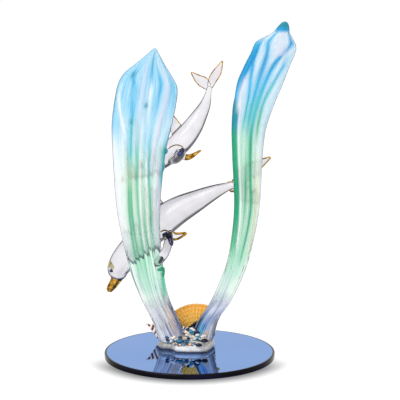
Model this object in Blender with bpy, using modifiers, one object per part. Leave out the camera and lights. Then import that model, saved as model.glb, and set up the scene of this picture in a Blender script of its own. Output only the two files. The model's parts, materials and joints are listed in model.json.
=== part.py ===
"""A lampworked glass figurine, 200 mm tall, on a round mirror base.

Two clear dolphins leap between two ribbed waves of coloured glass. The waves grow out of a
puddle of clear glass that holds a scallop, two spiral shells and some glass pebbles.

The origin is the centre of the base's underside, +Z is up and -Y is the front. Sizes are in
millimetres, and MM turns them into the scene's metres.
"""

import math

import bmesh
import bpy
from mathutils import Vector

MM = 0.001
GAP = 0.3

# Mirror base
DISC_RADIUS = 50.8
DISC_THICKNESS = 3.2
DISC_EDGE = 1.0
DISC_SIDES = 64

# Puddle of clear glass, seen from above, and its profile as (share of the outline, height)
POOL_CENTRE = (-1.0, 9.0)
POOL_OUTLINE = [
    (0.0, -5.6),
    (10.0, -4.6),
    (12.8, 1.0),
    (15.2, 9.0),
    (13.4, 19.0),
    (3.0, 23.5),
    (-8.0, 21.0),
    (-14.5, 14.5),
    (-19.5, 8.0),
    (-17.0, 3.5),
    (-11.0, 1.0),
    (-8.4, -3.8),
]
POOL_PROFILE = [(0.95, 0.0), (1.0, 1.0), (0.98, 2.1), (0.91, 3.3), (0.75, 4.2)]
POOL_SIDES = 26
POOL_BOTTOM = DISC_THICKNESS + GAP
POOL_TOP = POOL_BOTTOM + POOL_PROFILE[-1][1]
FOOT = POOL_TOP + GAP

# Left and right edges of each wave as (x, z), from the foot to the tip
LEFT_WAVE_EDGES = [
    ((-18.6, FOOT), (-0.5, FOOT)),
    ((-22.2, 18.5), (-5.2, 18.2)),
    ((-29.1, 33.0), (-12.4, 34.2)),
    ((-35.6, 50.8), (-15.5, 52.0)),
    ((-42.8, 84.2), (-17.3, 84.2)),
    ((-45.4, 120.2), (-14.1, 120.2)),
    ((-46.0, 136.3), (-10.4, 136.9)),
    ((-44.6, 149.9), (-7.6, 151.1)),
    ((-41.8, 162.6), (-7.0, 160.1)),
    ((-37.9, 169.1), (-9.5, 165.9)),
    ((-29.9, 175.6), (-14.5, 174.3)),
    ((-20.4, 183.7), (-19.0, 183.1)),
]
RIGHT_WAVE_EDGES = [
    ((0.3, FOOT), (14.2, FOOT)),
    ((4.4, 18.8), (17.9, 20.6)),
    ((11.6, 29.6), (24.8, 31.1)),
    ((17.9, 43.4), (31.3, 44.7)),
    ((22.9, 58.7), (36.0, 58.7)),
    ((26.1, 87.2), (41.5, 87.2)),
    ((25.0, 119.0), (43.2, 119.0)),
    ((24.5, 135.1), (45.0, 135.1)),
    ((25.3, 149.9), (49.9, 150.5)),
    ((27.5, 163.4), (54.9, 162.8)),
    ((31.3, 172.8), (58.6, 172.8)),
    ((35.4, 181.0), (61.8, 181.0)),
    ((38.4, 187.3), (62.0, 185.2)),
    ((44.5, 190.6), (59.7, 189.9)),
    ((48.4, 192.9), (58.2, 192.6)),
    ((51.8, 196.9), (57.8, 196.4)),
    ((53.7, 198.8), (56.9, 198.6)),
]
# Depth of the middle, thickness and height of a rib, each by the share of the way up
LEFT_WAVE_DEPTH = [(0.0, 8.0), (0.5, 8.2), (0.8, 8.0), (1.0, 4.0)]
RIGHT_WAVE_DEPTH = [(0.0, 10.0), (0.5, 9.0), (0.8, 7.5), (1.0, 2.5)]
LEFT_WAVE_THICKNESS = [(0.0, 12.5), (0.3, 9.4), (0.6, 6.8), (0.85, 5.4), (1.0, 1.6)]
RIGHT_WAVE_THICKNESS = [(0.0, 11.5), (0.3, 9.6), (0.6, 8.4), (0.85, 6.2), (1.0, 4.2)]
RIB_HEIGHT = [(0.0, 0.6), (0.3, 0.75), (0.85, 0.7), (0.96, 0.4), (1.0, 0.0)]
LEFT_WAVE_RIBS = 16
RIGHT_WAVE_RIBS = 12
POINTS_PER_RIB = 3
WAVE_RING_SPACING = 8.5
TIP_RISE = 0.35

# Dolphins: half height of the body over its length, by the share of the way from beak to tail
BODY_GIRTH = [
    (0.0, 0.017),
    (0.03, 0.024),
    (0.078, 0.032),
    (0.10, 0.050),
    (0.14, 0.064),
    (0.20, 0.072),
    (0.30, 0.080),
    (0.42, 0.085),
    (0.55, 0.086),
    (0.66, 0.076),
    (0.76, 0.060),
    (0.86, 0.042),
    (0.95, 0.024),
    (1.0, 0.018),
]
BODY_BREADTH = 0.94
BODY_SIDES = 14
BODY_RINGS = 22
# Rings stand closer together towards the beak, and the ends are rounded off by a share of their size
RING_CROWDING = 1.25
END_ROUNDING = 0.6
FIN_SIDES = 8
FIN_RINGS = 6

LARGE_SPINE = [
    (-49.0, 21.0, 35.2),
    (-44.7, 21.0, 41.9),
    (-42.8, 21.0, 49.7),
    (-37.3, 21.0, 57.7),
    (-26.4, 21.0, 68.8),
    (-10.7, 20.8, 82.2),
    (6.2, 19.0, 91.9),
    (18.1, 16.8, 98.0),
    (28.3, 15.6, 101.9),
]
SMALL_SPINE = [
    (-37.4, 18.3, 103.6),
    (-30.2, 18.3, 108.4),
    (-23.6, 18.3, 112.2),
    (-14.5, 18.3, 118.1),
    (-5.3, 18.3, 126.4),
    (1.3, 18.0, 134.7),
    (6.0, 17.8, 142.5),
    (9.5, 16.8, 149.7),
    (11.9, 15.6, 159.6),
]
# Fins: the line along the middle of each blade, and its half width along that line
LARGE_FINS = {
    "dorsal": ([(-17.5, 21.0, 82.0), (-21.8, 20.0, 91.0), (-24.5, 19.0, 98.5)], (6.0, 3.6, 0.5)),
    "near_flipper": (
        [(-15.0, 19.0, 75.0), (-12.6, 11.0, 69.6), (-14.4, 3.0, 62.6), (-19.2, 0.3, 56.4)],
        (3.2, 2.8, 2.7, 2.6),
    ),
    "far_flipper": ([(-17.0, 25.0, 73.0), (-9.5, 29.0, 67.0), (-2.8, 30.0, 68.4)], (3.0, 2.0, 0.5)),
    "upper_fluke": ([(24.5, 15.9, 100.0), (36.5, 15.2, 110.4), (47.6, 14.4, 117.6)], (1.8, 3.7, 0.5)),
    "lower_fluke": ([(24.5, 15.9, 100.5), (33.0, 15.4, 96.5), (39.6, 15.2, 90.6)], (1.8, 4.3, 0.5)),
}
SMALL_FINS = {
    "dorsal": ([(-5.6, 19.0, 128.5), (-8.8, 19.0, 136.6), (-11.2, 19.0, 143.8)], (4.8, 3.0, 0.4)),
    "near_flipper": (
        [(-7.6, 18.5, 124.6), (-5.0, 12.4, 122.2), (-7.4, 9.0, 118.3), (-11.2, 8.6, 116.4)],
        (3.0, 3.1, 3.0, 2.2),
    ),
    "far_flipper": ([(-8.5, 21.5, 119.0), (-1.0, 25.4, 116.2), (6.6, 26.2, 120.2)], (2.4, 1.7, 0.4)),
    "right_fluke": (
        [(11.4, 15.8, 157.6), (13.7, 15.4, 164.0), (16.3, 15.0, 168.4), (19.2, 14.6, 174.6)],
        (1.3, 2.3, 2.3, 0.4),
    ),
    "left_fluke": (
        [(12.0, 15.8, 158.4), (8.4, 15.8, 162.3), (5.2, 15.8, 164.4), (1.4, 15.8, 168.0)],
        (1.6, 3.0, 2.3, 0.4),
    ),
}
LARGE_FIN_THICKNESS = 1.6
SMALL_FIN_THICKNESS = 1.2
# The near flippers are thick paddles that loop forward to the left wave
PADDLE_THICKENING = 1.6

# Scallop: a ribbed fan that stands on its hinge behind the feet
SCALLOP_HINGE = (4.0, 20.4, 7.0)
SCALLOP_RADIUS = 19.1
SCALLOP_SPREAD = math.radians(51)
SCALLOP_RIBS = 13
SCALLOP_RIB_HEIGHT = 0.45
SCALLOP_RIB_REACH = 0.012
SCALLOP_HINGE_SHARE = 0.10
SCALLOP_HINGE_SPREAD = 0.74
SCALLOP_HINGE_WIDTH = 1.6
SCALLOP_CORNER_DROP = -0.07
SCALLOP_DOME = 3.6
SCALLOP_WALL = 1.0
SCALLOP_TILT = math.radians(-12)
SCALLOP_LEAN = math.radians(-6)

# Spiral shells: length, greatest radius, whorls, place of the tip and of the base. Each whorl has a
# seam and a swelling, as (share of the whorl, share of the radius), and the mouth is drawn in.
SPIRAL_SIDES = 12
WHORL_STEPS = ((0.15, 0.90), (0.6, 1.10))
SPIRAL_MOUTH = 0.6
SPIRALS = {
    "spiral_shell_left": (11.6, 5.2, 4, (-25.8, 20.2, 14.2), (-15.6, 20.4, 8.7)),
    "spiral_shell_right": (10.0, 3.1, 5, (16.0, 18.4, 17.2), (12.2, 18.8, 8.6)),
}

# Pebbles of coloured glass: middle, half sizes, turn about Y in degrees
PEBBLES = {
    "pebble_navy_front": ((5.5, -5.0, 8.1), (2.1, 1.3, 1.1), 0),
    "pebble_navy_right": ((8.9, -0.3, 9.5), (2.3, 1.7, 1.3), 0),
    "pebble_navy_middle": ((1.9, 16.9, 14.2), (5.0, 0.8, 1.3), -40),
    "pebble_teal_left": ((-6.3, -0.6, 9.3), (2.5, 1.6, 1.2), 0),
    "pebble_teal_right": ((-1.8, -2.0, 9.4), (1.6, 1.4, 1.2), 0),
    "pebble_blue_back": ((5.6, 16.9, 11.0), (3.2, 1.1, 2.8), 0),
}
PEBBLE_SIDES = 10


def smooth(stations, t):
    """The value at t of a smooth curve through (t, value) stations, for numbers and vectors."""
    last = len(stations) - 1
    i = 0
    while i < last - 1 and t > stations[i + 1][0]:
        i += 1
    (t0, v0), (t1, v1) = stations[i], stations[i + 1]
    span = t1 - t0

    def slope(k):
        low, high = stations[max(k - 1, 0)], stations[min(k + 1, last)]
        return (high[1] - low[1]) / (high[0] - low[0])

    x = min(max((t - t0) / span, 0.0), 1.0)
    start = v0 * (2 * x**3 - 3 * x**2 + 1) + slope(i) * (span * (x**3 - 2 * x**2 + x))
    return start + v1 * (3 * x**2 - 2 * x**3) + slope(i + 1) * (span * (x**3 - x**2))


def by_length(points, middles=None):
    """Stations for smooth(), each point at its share of the way along the line of middles."""
    line = [Vector(p) for p in (middles or points)]
    reached = [0.0]
    for a, b in zip(line, line[1:]):
        reached.append(reached[-1] + (b - a).length)
    return [(s / reached[-1], Vector(p)) for s, p in zip(reached, points)]


def material(name, colour, roughness, metallic=0.0, transmission=0.0):
    """A Principled material in one colour."""
    made = bpy.data.materials.new(name)
    made.use_nodes = True
    made.diffuse_color = (*colour, 1.0)
    shader = made.node_tree.nodes["Principled BSDF"]
    shader.inputs["Base Color"].default_value = (*colour, 1.0)
    shader.inputs["Roughness"].default_value = roughness
    shader.inputs["Metallic"].default_value = metallic
    shader.inputs["Transmission Weight"].default_value = transmission
    return made


def add_object(name, bm, collection, finish=None):
    """The bmesh as a smooth-shaded object."""
    bmesh.ops.recalc_face_normals(bm, faces=bm.faces)
    mesh = bpy.data.meshes.new(name)
    bm.to_mesh(mesh)
    bm.free()
    mesh.shade_smooth()
    if finish is not None:
        mesh.materials.append(finish)
    obj = bpy.data.objects.new(name, mesh)
    collection.objects.link(obj)
    return obj


def loft(rings, start, end):
    """A closed body through rings of points, drawn together to one point at each end."""
    bm = bmesh.new()
    loops = [[bm.verts.new(Vector(p) * MM) for p in ring] for ring in rings]
    for lower, upper in zip(loops, loops[1:]):
        for k in range(len(lower)):
            j = (k + 1) % len(lower)
            bm.faces.new((lower[k], lower[j], upper[j], upper[k]))
    for loop, point in ((loops[0], start), (loops[-1], end)):
        tip = bm.verts.new(Vector(point) * MM)
        for k in range(len(loop)):
            bm.faces.new((loop[k], loop[(k + 1) % len(loop)], tip))
    return bm


def even_angles(across, through, count):
    """Angles that part an ellipse's outline into equal lengths."""
    steps = 360
    reached = [0.0]
    for k in range(steps):
        middle = 2 * math.pi * (k + 0.5) / steps
        reached.append(reached[-1] + math.hypot(across * math.sin(middle), through * math.cos(middle)))
    angles = []
    k = 0
    for i in range(count):
        want = reached[-1] * i / count
        while reached[k + 1] < want:
            k += 1
        angles.append(2 * math.pi * (k + (want - reached[k]) / (reached[k + 1] - reached[k])) / steps)
    return angles


def wave_ring(left, right, depth, thickness, rib_height, ribs):
    """One cross-section of a wave: a flattened oval with rounded ribs and sharp grooves."""
    across = Vector((right[0] - left[0], 0.0, right[1] - left[1])) / 2
    across += across.normalized() * (rib_height / 2)
    middle = Vector((left[0] + right[0], 2 * depth, left[1] + right[1])) / 2
    through = Vector((0.0, thickness / 2, 0.0))
    half_width = across.length
    ring = []
    count = ribs * POINTS_PER_RIB
    for k, angle in enumerate(even_angles(half_width, thickness / 2, count)):
        lobe = math.sin(math.pi * (k % POINTS_PER_RIB) / POINTS_PER_RIB)
        outward = across * (math.cos(angle) / half_width**2)
        outward += through * (math.sin(angle) / (thickness / 2) ** 2)
        rib = outward.normalized() * (rib_height * (lobe - 1))
        ring.append(middle + across * math.cos(angle) + through * math.sin(angle) + rib)
    return ring


def make_wave(name, edges, depths, thicknesses, ribs, collection, finish):
    """A tall ribbed blade of glass between its left and right edges."""
    middles = [((left[0] + right[0]) / 2, (left[1] + right[1]) / 2) for left, right in edges]
    left_edge = by_length([left for left, _ in edges], middles)
    right_edge = by_length([right for _, right in edges], middles)
    levels = []
    for (t0, low), (t1, high) in zip(left_edge, left_edge[1:]):
        pieces = max(round((high - low).length / WAVE_RING_SPACING), 1)
        levels += [t0 + (t1 - t0) * k / pieces for k in range(pieces)]
    rings = []
    for t in levels + [1.0]:
        values = (smooth(part, t) for part in (left_edge, right_edge, depths, thicknesses, RIB_HEIGHT))
        rings.append(wave_ring(*values, ribs))
    foot = sum(rings[0], Vector((0.0, 0.0, 0.0))) / len(rings[0])
    last = sum(rings[-1], Vector((0.0, 0.0, 0.0))) / len(rings[-1])
    tip = last + Vector((0.0, 0.0, TIP_RISE * (rings[-1][0] - last).length))
    return add_object(name, loft(rings, foot, tip), collection, finish)


def make_body(name, spine, collection, finish):
    """A dolphin's body from the tip of its beak to the root of its tail."""
    line = by_length(spine)
    length = sum((Vector(b) - Vector(a)).length for a, b in zip(spine, spine[1:]))
    rings = []
    for k in range(BODY_RINGS):
        t = (k / (BODY_RINGS - 1)) ** RING_CROWDING
        centre = smooth(line, t)
        along = (smooth(line, min(t + 0.01, 1.0)) - smooth(line, max(t - 0.01, 0.0))).normalized()
        back = along.cross(Vector((0.0, 1.0, 0.0))).normalized()
        side = back.cross(along)
        half_height = smooth(BODY_GIRTH, t) * length
        ring = []
        for j in range(BODY_SIDES):
            angle = 2 * math.pi * j / BODY_SIDES
            out = back * math.cos(angle) + side * (math.sin(angle) * BODY_BREADTH)
            ring.append(centre + out * half_height)
        rings.append(ring)
    ahead = (smooth(line, 0.01) - smooth(line, 0.0)).normalized()
    behind = (smooth(line, 1.0) - smooth(line, 0.99)).normalized()
    start = smooth(line, 0.0) - ahead * (BODY_GIRTH[0][1] * length * END_ROUNDING)
    end = smooth(line, 1.0) + behind * (BODY_GIRTH[-1][1] * length * END_ROUNDING)
    return add_object(name, loft(rings, start, end), collection, finish)


def make_blade(name, path, half_widths, thickness, collection):
    """A flat fin with a lens-shaped section, its broad side to the front and the back."""
    line = by_length(path)
    widths = [(t, width) for (t, _), width in zip(line, half_widths)]
    rings = []
    for k in range(FIN_RINGS):
        t = k / (FIN_RINGS - 1)
        along = (smooth(line, min(t + 0.02, 1.0)) - smooth(line, max(t - 0.02, 0.0))).normalized()
        chord = along.cross(Vector((0.0, 1.0, 0.0))).normalized()
        through = chord.cross(along)
        half_width = smooth(widths, t)
        half_thickness = min(thickness / 2, half_width)
        ring = []
        for j in range(FIN_SIDES):
            angle = 2 * math.pi * j / FIN_SIDES
            offset = chord * (half_width * math.cos(angle))
            ring.append(smooth(line, t) + offset + through * (half_thickness * math.sin(angle)))
        rings.append(ring)
    start = smooth(line, 0.0)
    end = smooth(line, 1.0) + along * half_widths[-1]
    return add_object(name, loft(rings, start, end), collection)


def weld_on(body, fin):
    """Joins a fin to the body and keeps the loose fin out of sight."""
    union = body.modifiers.new(fin.name, "BOOLEAN")
    union.operation = "UNION"
    union.solver = "EXACT"
    union.use_self = True
    union.object = fin
    fin.hide_render = True
    fin.display_type = "WIRE"


def make_dolphin(name, spine, fins, fin_thickness, collection, forms, finish):
    """A dolphin in one piece of glass: body, dorsal fin, two flippers and two flukes."""
    body = make_body(name, spine, collection, finish)
    for part, (path, half_widths) in fins.items():
        thickness = fin_thickness * (PADDLE_THICKENING if part == "near_flipper" else 1.0)
        weld_on(body, make_blade(f"{name}_{part}", path, half_widths, thickness, forms))
    return body


def make_disc(collection, finish):
    """The round mirror base with a small bevel round each edge."""
    bm = bmesh.new()
    bmesh.ops.create_cone(
        bm,
        cap_ends=True,
        segments=DISC_SIDES,
        radius1=DISC_RADIUS * MM,
        radius2=DISC_RADIUS * MM,
        depth=DISC_THICKNESS * MM,
    )
    bmesh.ops.translate(bm, verts=bm.verts, vec=(0.0, 0.0, DISC_THICKNESS * MM / 2))
    disc = add_object("mirror_disc", bm, collection, finish)
    bevel = disc.modifiers.new("polished_edge", "BEVEL")
    bevel.width = DISC_EDGE * MM
    bevel.segments = 1
    bevel.limit_method = "ANGLE"
    bevel.angle_limit = math.radians(60)
    disc.data.set_sharp_from_angle(angle=math.radians(30))
    return disc


def make_pool(collection, finish):
    """The low puddle of glass, drawn in towards its middle as it rises."""
    closed = POOL_OUTLINE + POOL_OUTLINE[:2]
    outline = by_length(closed)
    one_round = outline[len(POOL_OUTLINE)][0]
    middle = Vector(POOL_CENTRE)
    rings = []
    for share, height in POOL_PROFILE:
        ring = []
        for k in range(POOL_SIDES):
            edge = smooth(outline, one_round * (k + 0.5) / POOL_SIDES)
            place = middle + (edge - middle) * share
            ring.append((place[0], place[1], POOL_BOTTOM + height))
        rings.append(ring)
    bottom = (*POOL_CENTRE, POOL_BOTTOM)
    top = (*POOL_CENTRE, POOL_TOP)
    return add_object("glass_pool", loft(rings, bottom, top), collection, finish)


def scallop_point(across, up):
    """A point of the fan's outer face, across from -1 to 1 and up from 0 at the hinge to 1."""
    angle = across * SCALLOP_SPREAD * (SCALLOP_HINGE_SPREAD + (1 - SCALLOP_HINGE_SPREAD) * up)
    rib = math.cos(across * math.pi * SCALLOP_RIBS)
    reach = SCALLOP_RADIUS * (SCALLOP_HINGE_SHARE + (1 - SCALLOP_HINGE_SHARE) * up)
    reach *= 1 - SCALLOP_CORNER_DROP * across**2 * up + SCALLOP_RIB_REACH * rib * up
    bulge = SCALLOP_DOME * math.sqrt(max(math.sin(math.pi * up), 0.0)) * (1 - across**2)
    bulge += SCALLOP_RIB_HEIGHT * rib * up
    hinge_width = SCALLOP_HINGE_WIDTH * across * (1 - up)
    return (reach * math.sin(angle) + hinge_width, -bulge, reach * math.cos(angle))


def make_scallop(collection, finish):
    """One valve of a scallop, standing on its hinge and leaning back."""
    bm = bmesh.new()
    bmesh.ops.create_grid(bm, x_segments=2 * SCALLOP_RIBS, y_segments=6, size=1.0)
    for vert in bm.verts:
        vert.co = Vector(scallop_point(vert.co.x, (vert.co.y + 1) / 2)) * MM
    shell = add_object("scallop_shell", bm, collection, finish)
    shell.location = Vector(SCALLOP_HINGE) * MM
    shell.rotation_euler = (SCALLOP_TILT, SCALLOP_LEAN, 0.0)
    wall = shell.modifiers.new("wall", "SOLIDIFY")
    wall.thickness = SCALLOP_WALL * MM
    wall.offset = 0.0
    return shell


def spiral_profile(length, radius, whorls):
    """The shell's outline from its tip down, one swelling for each whorl."""
    outline = [(0.0, length)]
    for whorl in range(whorls):
        for step, swell in WHORL_STEPS:
            share = (whorl + step) / whorls
            outline.append((radius * share * swell, length * (1 - share)))
    outline.append((radius * SPIRAL_MOUTH, 0.0))
    outline.append((0.0, 0.0))
    return outline


def make_spiral(name, length, radius, whorls, tip, foot, collection, finish):
    """A spiral shell, turned round its own axis and leaning from its base to its tip."""
    bm = bmesh.new()
    corners = [bm.verts.new((x * MM, 0.0, z * MM)) for x, z in spiral_profile(length, radius, whorls)]
    for a, b in zip(corners, corners[1:]):
        bm.edges.new((a, b))
    shell = add_object(name, bm, collection, finish)
    turn = shell.modifiers.new("turned", "SCREW")
    turn.steps = SPIRAL_SIDES
    turn.render_steps = SPIRAL_SIDES
    turn.use_merge_vertices = True
    turn.merge_threshold = 0.00001
    turn.use_smooth_shade = True
    axis = Vector(tip) - Vector(foot)
    shell.rotation_mode = "QUATERNION"
    shell.rotation_quaternion = axis.to_track_quat("Z", "Y")
    shell.location = Vector(foot) * MM
    return shell


def make_pebble(name, middle, half_sizes, turn, collection, finish):
    """A flattened drop of glass, turned about Y by a number of degrees."""
    bm = bmesh.new()
    bmesh.ops.create_uvsphere(bm, u_segments=PEBBLE_SIDES, v_segments=6, radius=MM)
    bmesh.ops.scale(bm, verts=bm.verts, vec=half_sizes)
    pebble = add_object(name, bm, collection, finish)
    pebble.location = Vector(middle) * MM
    pebble.rotation_euler = (0.0, math.radians(turn), 0.0)
    return pebble


def new_collection(name):
    """A collection in the scene."""
    made = bpy.data.collections.new(name)
    bpy.context.scene.collection.children.link(made)
    return made


def main():
    for obj in list(bpy.data.objects):
        bpy.data.objects.remove(obj)
    figurine = new_collection("glass_dolphin_figurine")
    forms = new_collection("fin_forms")

    mirror = material("blue_mirror", (0.23, 0.40, 0.72), 0.03, metallic=1.0)
    clear = material("clear_glass", (0.97, 0.97, 0.99), 0.02, transmission=1.0)
    left_glass = material("pale_blue_and_green_glass", (0.62, 0.90, 0.90), 0.02, transmission=1.0)
    right_glass = material("deep_blue_and_green_glass", (0.40, 0.80, 0.88), 0.02, transmission=1.0)
    amber = material("amber_shell", (0.90, 0.52, 0.14), 0.4)
    banded = material("banded_shell", (0.62, 0.34, 0.20), 0.35)
    navy = material("navy_glass", (0.02, 0.04, 0.20), 0.05)
    teal = material("teal_glass", (0.02, 0.38, 0.55), 0.05)

    make_disc(figurine, mirror)
    make_pool(figurine, clear)
    make_wave(
        "wave_left",
        LEFT_WAVE_EDGES,
        LEFT_WAVE_DEPTH,
        LEFT_WAVE_THICKNESS,
        LEFT_WAVE_RIBS,
        figurine,
        left_glass,
    )
    make_wave(
        "wave_right",
        RIGHT_WAVE_EDGES,
        RIGHT_WAVE_DEPTH,
        RIGHT_WAVE_THICKNESS,
        RIGHT_WAVE_RIBS,
        figurine,
        right_glass,
    )
    make_dolphin("dolphin_large", LARGE_SPINE, LARGE_FINS, LARGE_FIN_THICKNESS, figurine, forms, clear)
    make_dolphin("dolphin_small", SMALL_SPINE, SMALL_FINS, SMALL_FIN_THICKNESS, figurine, forms, clear)
    make_scallop(figurine, amber)
    for name, (length, radius, whorls, tip, foot) in SPIRALS.items():
        make_spiral(name, length, radius, whorls, tip, foot, figurine, banded)
    for name, (middle, half_sizes, turn) in PEBBLES.items():
        finish = navy if "navy" in name else teal
        make_pebble(name, middle, half_sizes, turn, figurine, finish)


if __name__ == "__main__":
    main()
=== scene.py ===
"""The looks of a lampworked glass dolphin figurine on a round blue mirror.

Two clear dolphins with gilded fins leap behind two ribbed waves of coloured glass, which grow
out of a puddle of clear glass with seashells and glass pebbles in it.

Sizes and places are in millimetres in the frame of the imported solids: the origin is the centre
of the mirror's underside, +Z is up and -Y is the front. MM turns them into metres. The finishes
follow Object coordinates, so their own scales, places and depths are for metres.
"""

from __future__ import annotations

import json
import logging
import math
import random
from dataclasses import dataclass, replace
from enum import Enum

import bmesh
import bpy
from mathutils import Matrix, Vector

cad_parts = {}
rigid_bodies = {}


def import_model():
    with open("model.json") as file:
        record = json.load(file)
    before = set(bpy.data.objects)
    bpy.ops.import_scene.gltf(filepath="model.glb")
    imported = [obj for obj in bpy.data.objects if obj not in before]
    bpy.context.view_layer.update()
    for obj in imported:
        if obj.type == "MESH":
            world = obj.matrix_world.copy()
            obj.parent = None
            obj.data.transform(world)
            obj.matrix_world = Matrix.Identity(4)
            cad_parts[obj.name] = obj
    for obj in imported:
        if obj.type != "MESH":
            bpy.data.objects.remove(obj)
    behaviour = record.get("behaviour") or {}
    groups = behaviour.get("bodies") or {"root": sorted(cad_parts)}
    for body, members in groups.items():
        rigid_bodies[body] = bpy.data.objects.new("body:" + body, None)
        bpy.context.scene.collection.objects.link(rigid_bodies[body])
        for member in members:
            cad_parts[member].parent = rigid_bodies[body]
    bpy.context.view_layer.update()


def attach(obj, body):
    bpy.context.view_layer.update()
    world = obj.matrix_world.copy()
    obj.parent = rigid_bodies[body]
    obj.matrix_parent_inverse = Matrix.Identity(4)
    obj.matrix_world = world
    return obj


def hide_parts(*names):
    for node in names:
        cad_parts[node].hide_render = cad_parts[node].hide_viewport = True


LOG = logging.getLogger("glass_dolphin_figurine")
MM = 0.001
ROOT = "root"
GLASS_INDEX = 1.45
GROWTH_ARCS = 46.0
BACKWARDS = Vector((0.0, 1.0, 0.0))

Colour = tuple[float, float, float]
Place = tuple[float, float, float]
Span = tuple[float, float]
Stations = tuple[tuple[float, object], ...]
Stops = tuple[tuple[float, int], ...]
Form = bmesh.types.BMesh
Material = bpy.types.Material
Piece = bpy.types.Object
Socket = bpy.types.NodeSocket


def within(value: float) -> float:
    """The value, kept from 0 to 1."""
    return min(max(value, 0.0), 1.0)


def evenly(count: int) -> list[float]:
    """Shares spaced evenly from 0 to 1."""
    return [k / (count - 1) for k in range(count)]


def even_turns(count: int) -> list[float]:
    """Angles spaced evenly round a circle."""
    return [2 * math.pi * k / count for k in range(count)]


def screen(code: int) -> Colour:
    """The linear colour of a six-digit screen colour.

    Args:
        code: the colour as 0xRRGGBB.

    Returns:
        Red, green and blue from 0 to 1.
    """
    shares = ((code >> shift & 255) / 255 for shift in (16, 8, 0))
    red, green, blue = (c / 12.92 if c <= 0.04045 else ((c + 0.055) / 1.055) ** 2.4 for c in shares)
    return red, green, blue


class Glass(Enum):
    """The colours of the glass rods that the waves are drawn from."""

    CLEAR = 0xF8F9FC
    LILAC = 0xE6E6F4
    PALE_SKY = 0xD9F0FB
    SKY = 0xA6DEF6
    CYAN = 0x3EBEE8
    AZURE = 0x0CA6DC
    TURQUOISE = 0x48C4CC
    TEAL = 0x0098AE
    EMERALD = 0x08AC7C
    GREEN = 0x4FBB8E
    MINT = 0xB4E3CC
    PALE_MINT = 0xDDF2E4
    LIME = 0xEEF4CA
    SMOKE = 0xA9B7CE
    SLATE = 0x6A7FA6
    COBALT = 0x2A62A8
    NAVY = 0x18224E
    VIOLET = 0x8D8FD0
    APRICOT = 0xEBBC92
    UMBER = 0x8E5C40
    WHITE = 0xFFFFFF

    def shade(self) -> Vector:
        """The colour as a linear vector."""
        return Vector(screen(self.value))


@dataclass(frozen=True)
class Course:
    """A smooth run of numbers or points through stations at growing shares from 0 to 1."""

    stations: Stations

    @classmethod
    def of(cls, *stations: tuple[float, float]) -> Course:
        """A course through (share, number) pairs."""
        return cls(tuple(stations))

    @classmethod
    def through(cls, points: list[Place], measured: list[Place] | None = None) -> Course:
        """A course through points, spaced by length.

        Args:
            points: the points that the course goes through.
            measured: another line whose lengths give the shares, or None for the points' own.

        Returns:
            The course, with vectors as its values.
        """
        line = [Vector(p) for p in (measured or points)]
        reached = [0.0]
        for a, b in zip(line, line[1:]):
            reached.append(reached[-1] + (b - a).length)
        return cls(tuple((s / reached[-1], Vector(p)) for s, p in zip(reached, points)))

    def slope(self, k: int) -> object:
        """The course's slope at one of its stations."""
        low, high = self.stations[max(k - 1, 0)], self.stations[min(k + 1, len(self.stations) - 1)]
        return (high[1] - low[1]) / (high[0] - low[0])

    def at(self, share: float) -> object:
        """The value at a share of the way.

        Args:
            share: where to look, from 0 to 1.

        Returns:
            A number or a vector, as the stations hold.
        """
        last = len(self.stations) - 1
        k = 0
        while k < last - 1 and share > self.stations[k + 1][0]:
            k += 1
        (t0, v0), (t1, v1) = self.stations[k], self.stations[k + 1]
        span = t1 - t0
        x = within((share - t0) / span)
        start = v0 * (2 * x**3 - 3 * x**2 + 1) + self.slope(k) * (span * (x**3 - 2 * x**2 + x))
        end = v1 * (3 * x**2 - 2 * x**3) + self.slope(k + 1) * (span * (x**3 - x**2))
        return start + end

    def ahead(self, share: float, step: float = 0.01) -> Vector:
        """The direction of travel at a share of the way."""
        return (self.at(min(share + step, 1.0)) - self.at(max(share - step, 0.0))).normalized()

    def length(self) -> float:
        """The length along the stations, for a course of points."""
        return sum((b[1] - a[1]).length for a, b in zip(self.stations, self.stations[1:]))


class Nodes:
    """A tree of nodes, added one line at a time."""

    def __init__(self, tree: bpy.types.NodeTree) -> None:
        """Takes the tree that the nodes are added to."""
        self.tree = tree

    def add(self, kind: str, inputs: dict | None = None, **settings: object) -> bpy.types.Node:
        """Adds a node.

        Args:
            kind: the node's type, without the ShaderNode in front.
            inputs: its inputs by name or number, each a value or another node's output.
            settings: its own settings.

        Returns:
            The node.
        """
        node = self.tree.nodes.new("ShaderNode" + kind)
        for key, value in settings.items():
            setattr(node, key, value)
        for key, value in (inputs or {}).items():
            self.feed(node.inputs[key], value)
        return node

    def feed(self, socket: Socket, value: object) -> None:
        """Links an output to a socket, or sets the socket to a plain value.

        Args:
            socket: the input to feed.
            value: an output, a number, a vector, or a colour as three shares or a screen colour.
        """
        if isinstance(value, Socket):
            self.tree.links.new(value, socket)
        elif socket.type == "RGBA":
            colour = screen(value) if isinstance(value, int) else value
            socket.default_value = (*colour, 1.0)
        else:
            socket.default_value = value

    def calculate(self, kind: str, first: object, second: object = 0.0, third: float = 0.0) -> Socket:
        """The result of a Math node."""
        return self.add("Math", {0: first, 1: second, 2: third}, operation=kind).outputs[0]

    def times(self, first: object, second: object) -> Socket:
        """Two numbers multiplied."""
        return self.calculate("MULTIPLY", first, second)

    def step(self, value: object, low: float, high: float, ends: Span = (0.0, 1.0)) -> Socket:
        """A smooth step between two numbers, from where the value is at low to where it is at high."""
        inputs = {"Value": value, "From Min": low, "From Max": high, "To Min": ends[0], "To Max": ends[1]}
        return self.add("MapRange", inputs, interpolation_type="SMOOTHSTEP").outputs["Result"]

    def split(self, vector: object, axis: str) -> Socket:
        """One of a vector's numbers."""
        return self.add("SeparateXYZ", {0: vector}).outputs[axis]

    def vector(self, x: object, y: object, z: object = 0.0) -> Socket:
        """A vector put together from its numbers."""
        return self.add("CombineXYZ", {"X": x, "Y": y, "Z": z}).outputs[0]


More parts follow.
